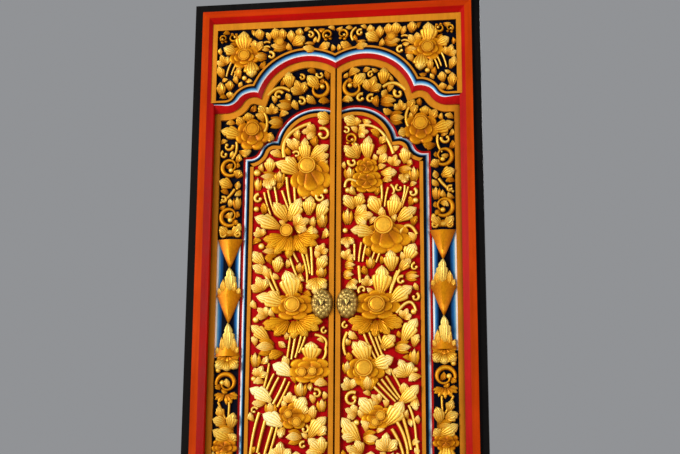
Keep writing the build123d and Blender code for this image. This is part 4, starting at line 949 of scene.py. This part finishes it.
# The second tint of these golds is partly a deeper, more orange gold and partly painted shade, stronger in
# the border's than in the transom's.
mid_gilt = painted("mid_gold_paint", vary=(0.82, 1.1), tint_and_shade=(0.92, 0.84, 0.62), **GILT)
deep_gilt = painted("deep_gold_paint", vary=(0.8, 1.1), tint_and_shade=(0.84, 0.74, 0.42), **GILT)
enamel = painted("gloss_paint", grain=(60, 60, 10), vary=(0.85, 1.08), rough=(0.3, 0.46))
brass = painted("dark_brass", grain=(240, 240, 240), vary=(0.72, 1.15), rough=(0.3, 0.5), metallic=0.7,
                coat=0.0, specular=0.5, ripple=0.4)
ochre = painted("ochre_paint", OCHRE, (70, 70, 5), (0.86, 1.08), coat=0.03)
orange_upright = painted("orange_upright", (172, 52, 2))
# The head's orange is a little darker than the jambs': painted shade on the top of the frame.
orange_level = painted("orange_level", (168, 44, 2), LEVEL)
crimson_upright = painted("crimson_upright", CRIMSON_BASE, vary=CRIMSON_VARY)
crimson_level = painted("crimson_level", CRIMSON_BASE, LEVEL, CRIMSON_VARY)
black_gloss = painted("black_gloss", (9, 8, 9), (50, 50, 4), (0.7, 1.3), (0.46, 0.62), coat=0.0)
board_wood = wood("board_wood", 2, (72, 34, 14), (128, 68, 30))
rail_wood = wood("rail_wood", 0, (78, 38, 16), (134, 76, 36))
peg_wood = wood("peg_wood", 1, (70, 34, 14), (120, 66, 32))
iron = metal("forged_iron", (26, 22, 20), (74, 66, 60), 60.0, (0.62, 0.4), 0.8)
nut_brass = metal("nut_brass", (92, 62, 20), (176, 134, 58), 70.0, (0.5, 0.3), 0.85)


def dress(names, material, other=None, is_other=None):
    """Give CAD nodes a material, and another one to the faces picked by their normal and middle in mm."""
    for name in names:
        mesh = nodes[name].data
        mesh.materials.clear()
        mesh.materials.append(material)
        if other:
            mesh.materials.append(other)
        for face in mesh.polygons:
            face.material_index = int(bool(other) and is_other(face.normal, face.center * 1000))


def both(*names):
    """The left and right nodes of these names."""
    return [f"{side_name}_{name}" for side_name, _ in SIDES for name in names]


def at_back(depth):
    """Picks the faces that look backwards behind a depth."""
    return lambda n, c: n.y > 0.5 and c.y > depth


MOULDING_FLAT_Y = -39.0     # faces in front of this are the moulding's flat
MOULDING_SIDE_U = 499.0     # faces beyond this are its outer side
dress(both("jamb"), black_gloss, board_wood, at_back(40))
dress(both("moulding"), crimson_upright, orange_upright,
      lambda n, c: c.y < MOULDING_FLAT_Y or abs(n.x) > 0.9 and abs(c.x) > MOULDING_SIDE_U)
dress(["head_moulding"], crimson_level, orange_level, lambda n, c: c.y < MOULDING_FLAT_Y or n.z > 0.9)
dress(both("leaf_board"), ochre, board_wood, at_back(45))
dress(both("bottom_pivot", "top_pivot", "pivot_cup", "pivot_bush"), iron)
dress(both("pull_nut"), nut_brass)
dress(["head", "sill"], black_gloss)
dress([*both("lower_ledge", "upper_ledge"), "left_outer_keep", "left_inner_keep", "right_keep", "draw_bar"],
      rail_wood)
dress(["bar_peg"], peg_wood)


# Transom: its board with the painted edge, and the carving in its field

TAPER = (325.0, 440.0)      # where the lines of the edge run together towards the sides
TAPER_MOST = 0.86
FIELD_FOOT = SPRING + ARCH_RIM
LIP = (-13, -26.2)      # where the bevel starts: drop, depth
BEVEL_LINES = (         # painted lines down the bevel: drop, depth, colour
    (-12, -25.4, (14, 40, 92)), (-9, -22.8, (50, 118, 176)), (-5, -20.0, (116, 174, 212)),
    (-2, -17.6, (206, 216, 226)), (0.3, -15.8, WHITE), (0.6, -15.5, (214, 60, 60)), (1.2, -15.0, CRIMSON),
)


def transom_edge():
    """Lines of the painted edge, from the field forwards over the rim and down the bevel to the back; the
    wall up from the field and the foot of the bevel are darkened as painted shade.
    """
    edge = [
        # The wall from the field up to the rim: black ground to ochre darkened as painted shade
        (door_path(-ARCH_RIM, HOUSED_U), TRANSOM_Y, BLACK),
        (door_path(-ARCH_RIM, HOUSED_U), TRANSOM_FRONT + 1, OCHRE_PAINTED_SHADE),
        (door_path(-25, HOUSED_U), TRANSOM_FRONT, OCHRE),
        (door_path(-18.5, HOUSED_U), TRANSOM_FRONT, OCHRE),
        (door_path(-18, HOUSED_U), TRANSOM_FRONT + 0.4, BLACK),
    ]
    start, level = door_path(LIP[0]), LIP[1]
    edge.append((start, level, BLACK))
    for drop, y, colour in BEVEL_LINES:
        path = door_path(drop)
        share = [TAPER_MOST * min(max((u - TAPER[0]) / (TAPER[1] - TAPER[0]), 0), 1) for u, _ in path]
        edge.append(([(u + (v - u) * w, z + (q - z) * w) for (u, z), (v, q), w in zip(path, start, share)],
                     [y + (level - y) * w for w in share], colour))
    # Foot of the bevel, crimson darkened to the back as painted shade
    foot = door_path(BEVEL_DROP)
    return edge + [(foot, -4.2, (150, 8, 14)), (foot, TRANSOM_BACK, (90, 6, 10))]


def rim(heap, side, line, shift):
    """Flat ochre rim of the transom, from a line of (u, z) to the same line shifted."""
    rows = [[(u + du, TRANSOM_FRONT, z + dz) for u, z in line] for du, dz in ((0, 0), shift)]
    heap.strip(side, rows, (OCHRE, OCHRE))


board = Heap()
carving = Heap()
transom_field = {}
for _, side in SIDES:
    outline = door_path(-ARCH_RIM, FIELD_U) + [(FIELD_U, FIELD_TOP), (0, FIELD_TOP)]
    transom_field[side] = mirrored(side, outline)
    board.bands(side, transom_edge())
    board.field(transom_field[side], TRANSOM_Y, NAVY)
    back = door_path(BEVEL_DROP) + [(MOULDING_U, TRANSOM_TOP), (0, TRANSOM_TOP)]
    board.field(mirrored(side, back), TRANSOM_BACK, BARE_WOOD, BACK)
    corners = ((FIELD_U, FIELD_FOOT), (FIELD_U, FIELD_TOP), (0, FIELD_TOP))
    # Side and top walls of the field, ochre darkened as painted shade at the front down to the black ground
    for ends, facing in zip(zip(corners, corners[1:]), ((-side, 0, 0), (0, 0, -1))):
        rows = [[(u, y, z) for u, z in ends] for y in (TRANSOM_FRONT, TRANSOM_Y)]
        board.strip(side, rows, (OCHRE_PAINTED_SHADE, BLACK), facing)
    rim(board, side, ((FIELD_U, FIELD_FOOT), (FIELD_U, TRANSOM_TOP)), (HOUSED_U - FIELD_U, 0))
    rim(board, side, ((0, FIELD_TOP), (FIELD_U, FIELD_TOP)), (0, TRANSOM_TOP - FIELD_TOP))
    carve(carving, side, TRANSOM_Y, TRANSOM)
for _, side in SIDES:
    fill(carving, TRANSOM_Y, [transom_field[side]], least=8.5)
board.build("transom_face", [gilt, enamel], "frame", ["transom_board"], "ochre_paint")
carving.build("transom_flowers", [mid_gilt, enamel], "frame", ["transom_carving"], "carving_paint")


# Leaves: border and raised panel with their carving, and the pull bosses

BESIDE = ((BORDER_U, -25.0), (346.0, 19.0))     # strips beside the lozenges: far edge, width
BESIDE_TINTS = ((0, WHITE), (0.2, (226, 230, 232)), (0.32, (96, 160, 200)), (0.6, (24, 84, 148)), (1, NAVY))
COVE_LINES = (      # lines down the slope from the border to the panel: drop, depth, colour
    (-PANEL_COVE, BORDER_Y, (20, 8, 10)), (-5, 14.8, (50, 14, 10)),
    (-4.2, 15.6, CRIMSON), (0, 19.5, CRIMSON),
)
PANEL_LINES = (     # lines of the panel's painted edge: drop, depth, colour
    (0, RECESS_Y, CRIMSON), (1.6, 18.6, CRIMSON), (2, 18.4, (232, 170, 170)), (3, 17.6, WHITE),
    (5.5, 15.6, (222, 222, 232)), (7, 14.4, (150, 186, 210)), (10, 12, (84, 140, 184)),
    (11.5, 10.8, (36, 84, 130)), (13, 9.6, (8, 18, 40)), (17, PANEL_RIM_Y, BLACK), (22, PANEL_RIM_Y, BLACK),
    # Last: the wall down from the ochre rim to the red ground, ochre to dark red as painted shade
    (22.5, PANEL_RIM_Y, OCHRE), (34, PANEL_RIM_Y, OCHRE), (PANEL_EDGE, PANEL_RIM_Y + 0.8, OCHRE_PAINTED_SHADE),
    (PANEL_EDGE, PANEL_Y, (90, 6, 8)),
)


def panel_bands(heap, side, lines):
    """Bands along the panel's outline."""
    heap.bands(side, [(panel_path(drop), y, colour) for drop, y, colour in lines])


def border(side):
    """Border: its ground, the slope down to the panel, the strips beside the lozenges and the carving."""
    heap = Heap()
    lift = RIGHT_LIFT if side > 0 else 0.0
    outline = mirrored(side, recess_path())
    hole = mirrored(side, [(STRIP_U, PANEL_FOOT - PANEL_COVE)] + panel_path(-PANEL_COVE)[::-1])
    heap.field(outline[:-1] + hole, BORDER_Y, NAVY)
    panel_bands(heap, side, COVE_LINES)
    foot, top = (z + lift for z in LOZENGES)
    for edge_u, width in BESIDE:
        for pair in zip(BESIDE_TINTS, BESIDE_TINTS[1:]):
            rows = [[(edge_u + width * k, BORDER_Y - 0.4, z) for z in (foot, top)] for k, _ in pair]
            heap.strip(side, rows, [colour for _, colour in pair])
    carve(heap, side, BORDER_Y, BORDER_TOP + BORDER_FOOT)
    carve(heap, side, BORDER_Y, BORDER_STRIP, lift)
    near, far = sorted(side * u for u in LOZENGES_U)
    below, above = LOZENGE_ROOM
    fill(heap, BORDER_Y, [outline, hole], least=9.0, keep_off=[(near, foot - below, far, top + above)])
    return heap


def panel(side, layout):
    """Raised panel with its painted edge, its ground and its carving."""
    heap = Heap()
    panel_bands(heap, side, PANEL_LINES)
    outline = mirrored(side, panel_path(PANEL_EDGE))
    heap.field(outline, PANEL_Y, GROUND_RED)
    inner = ((STRIP_U, PANEL_RIM_Y), (INNER_RIM_U, PANEL_RIM_Y), (INNER_RIM_U, PANEL_Y))
    rows = [[(u, y, z) for z in (PANEL_FOOT + PANEL_EDGE, INNER_RIM_TOP)] for u, y in inner]
    heap.strip(side, rows, [(120, 24, 8)] * 3)
    carve(heap, side, PANEL_Y, layout)
    near, far = sorted((0, side * 2 * PULL_U))
    below, above = PULL_ROOM
    fill(heap, PANEL_Y, [outline], least=9.5, keep_off=[(near, PULL_Z - below, far, PULL_Z + above)])
    return heap


# Lumps of the cast boss in shares of its half-sizes: place, radii, height in millimetres
BOSS_LUMPS = (
    (0.0, 0.82, 0.2, 0.13, 5.0), (0.34, 0.74, 0.17, 0.13, 5.0), (0.62, 0.5, 0.15, 0.14, 5.0),
    (0.8, 0.2, 0.13, 0.14, 4.0), (0.16, 0.54, 0.15, 0.12, 5.0), (0.4, 0.44, 0.14, 0.11, 4.5),
    (0.0, 0.34, 0.12, 0.09, 5.0), (0.24, 0.27, 0.13, 0.09, 5.0), (0.52, 0.18, 0.13, 0.12, 4.5),
    (0.8, -0.12, 0.12, 0.14, 4.0), (0.56, -0.16, 0.13, 0.14, 5.0), (0.74, -0.42, 0.13, 0.14, 4.0),
    (0.3, -0.36, 0.11, 0.17, 4.5), (0.48, -0.5, 0.13, 0.15, 5.0), (0.0, -0.52, 0.15, 0.14, 5.0),
    (0.22, -0.7, 0.15, 0.12, 5.0), (0.5, -0.76, 0.14, 0.1, 4.0), (0.0, -0.86, 0.16, 0.09, 4.5),
    (0.0, -0.3, 0.09, 0.1, 3.5),
)


def boss_swell(x, z):
    """Height of the leaves and of the fanned triangle at a place in shares of the boss's half-sizes."""
    swell = 0.0
    for lx, lz, rx, rz, high in BOSS_LUMPS:
        q = ((abs(x) - lx) / (1.25 * rx)) ** 2 + ((z - lz) / (1.25 * rz)) ** 2
        swell = max(swell, high * exp(-1.3 * q))
    drop = (0.2 - z) / 0.42
    if 0 < drop < 1 and abs(x) < 0.3 * (1 - drop):
        swell = max(swell, 2.8 + 1.2 * abs(cos(9.0 * x / (1.05 - drop))))
    return swell


def boss(side):
    """Cast oval boss: curled leaves round a fanned triangle, painted lighter on the raised lumps and darker
    round them: painted highlight and shade.
    """
    heap = Heap()
    around, out = 88, 34
    rows = []
    for i in range(out + 1):
        k = i / out
        row = []
        for j in range(around):
            a = 2 * pi * j / around
            x, z = k * cos(a), k * sin(a)
            swell = boss_swell(x, z)
            h = PULL_SWELL * (1 - k ** 2.4) ** 0.7 + swell * (1 - k ** 8)
            row.append((side * (PULL_U + PULL_HALF_U * x), -h - 0.2, PULL_Z + PULL_HALF_Z * z,
                        blend(BRONZE, 0.08 + 0.92 * (swell / 5.0) ** 0.8)))
        rows.append(row)
    rows.append([(x, 0.0, z, linear((60, 44, 20))) for x, _, z, _ in rows[-1]])
    heap.patch(rows, closed=True)
    return heap


for (side_name, side), layout in zip(SIDES, (LEFT_PANEL, RIGHT_PANEL)):
    for name, heap, materials, replaced, slot in (
            ("border", border(side), [deep_gilt, enamel], "border_carving", "carving_paint"),
            ("panel", panel(side, layout), [gilt, enamel], "panel_carving", "carving_paint"),
            ("boss", boss(side), [brass], "pull", "boss_brass")):
        heap.build(f"{side_name}_{name}", materials, f"{side_name}_leaf", [f"{side_name}_{replaced}"], slot)

# Dark tongue on the left leaf that closes the gap between the leaves: its near-black colour is painted shade
# in the gap
TONGUE_SECTION = ((-3.5, 18), (2.2, 18), (2.2, 40), (-3.5, 40))
TONGUE_HEIGHTS = (76, 600, 1200, 1800, 2127)
tongue = Heap()
tongue.patch([[(x, y, z, linear((16, 12, 12))) for x, y in TONGUE_SECTION] for z in TONGUE_HEIGHTS])
tongue.build("left_meeting_tongue", [enamel], "left_leaf", [], "board_paint")


# Stage: pale floor, soft light and the photograph's viewpoint

floor_mesh = bpy.data.meshes.new("floor")
floor_mesh.from_pydata([(-9, -9, 0), (9, -9, 0), (9, 9, 0), (-9, 9, 0)], [], [(0, 1, 2, 3)])
floor = bpy.data.objects.new("floor", floor_mesh)
bpy.context.scene.collection.objects.link(floor)
floor_mesh.materials.append(
    start_material("floor_paint", Roughness=0.8, Base_Color=(0.74, 0.73, 0.71, 1))[0])

world = bpy.context.scene.world or bpy.data.worlds.new("world")
bpy.context.scene.world = world
world.use_nodes = True
background = world.node_tree.nodes["Background"]
background.inputs["Color"].default_value = (0.86, 0.88, 0.92, 1)
background.inputs["Strength"].default_value = 0.33


def soft_light(name, place, target, size, power, colour):
    """Square or wide lamp that faces its target."""
    light = bpy.data.lights.new(name, "AREA")
    light.shape = "RECTANGLE"
    light.size, light.size_y = size
    light.energy = power
    light.color = colour
    lamp = bpy.data.objects.new(name, light)
    lamp.location = place
    lamp.rotation_euler = (Vector(target) - Vector(place)).to_track_quat("-Z", "Y").to_euler()
    bpy.context.scene.collection.objects.link(lamp)


WARM = (1, 0.95, 0.86)
soft_light("key", (-5.4, -4.9, 2.6), (0, 0, 0.8), (2.3, 2.3), 585, WARM)
soft_light("fill", (5.6, -4.9, 2.4), (0, 0, 0.8), (3.3, 3.3), 222, WARM)
soft_light("back", (0.5, 4.0, 3.6), (0, 0, 1.2), (3, 2), 90, (1, 1, 1))

# Viewpoint: place in metres, then the turns of a camera that looks down -Z
PLACE = Vector((0.605, -4.132, 0.363))
YAW, PITCH, ROLL = radians(-8.09), radians(13.08), radians(0.32)
FOCAL_PX = 1200.0
WIDTH_PX = 680.0
camera = bpy.data.cameras.new("camera")
camera.sensor_width = 36.0
camera.sensor_fit = "HORIZONTAL"
camera.lens = camera.sensor_width * FOCAL_PX / WIDTH_PX
eye = bpy.data.objects.new("camera", camera)
bpy.context.scene.collection.objects.link(eye)
eye.matrix_world = (Matrix.Translation(PLACE) @ Matrix.Rotation(-YAW, 4, "Z")
                    @ Matrix.Rotation(pi / 2 + PITCH, 4, "X") @ Matrix.Rotation(ROLL, 4, "Z"))
bpy.context.scene.camera = eye
bpy.context.scene.view_settings.view_transform = "Standard"

bpy.context.view_layer.update()
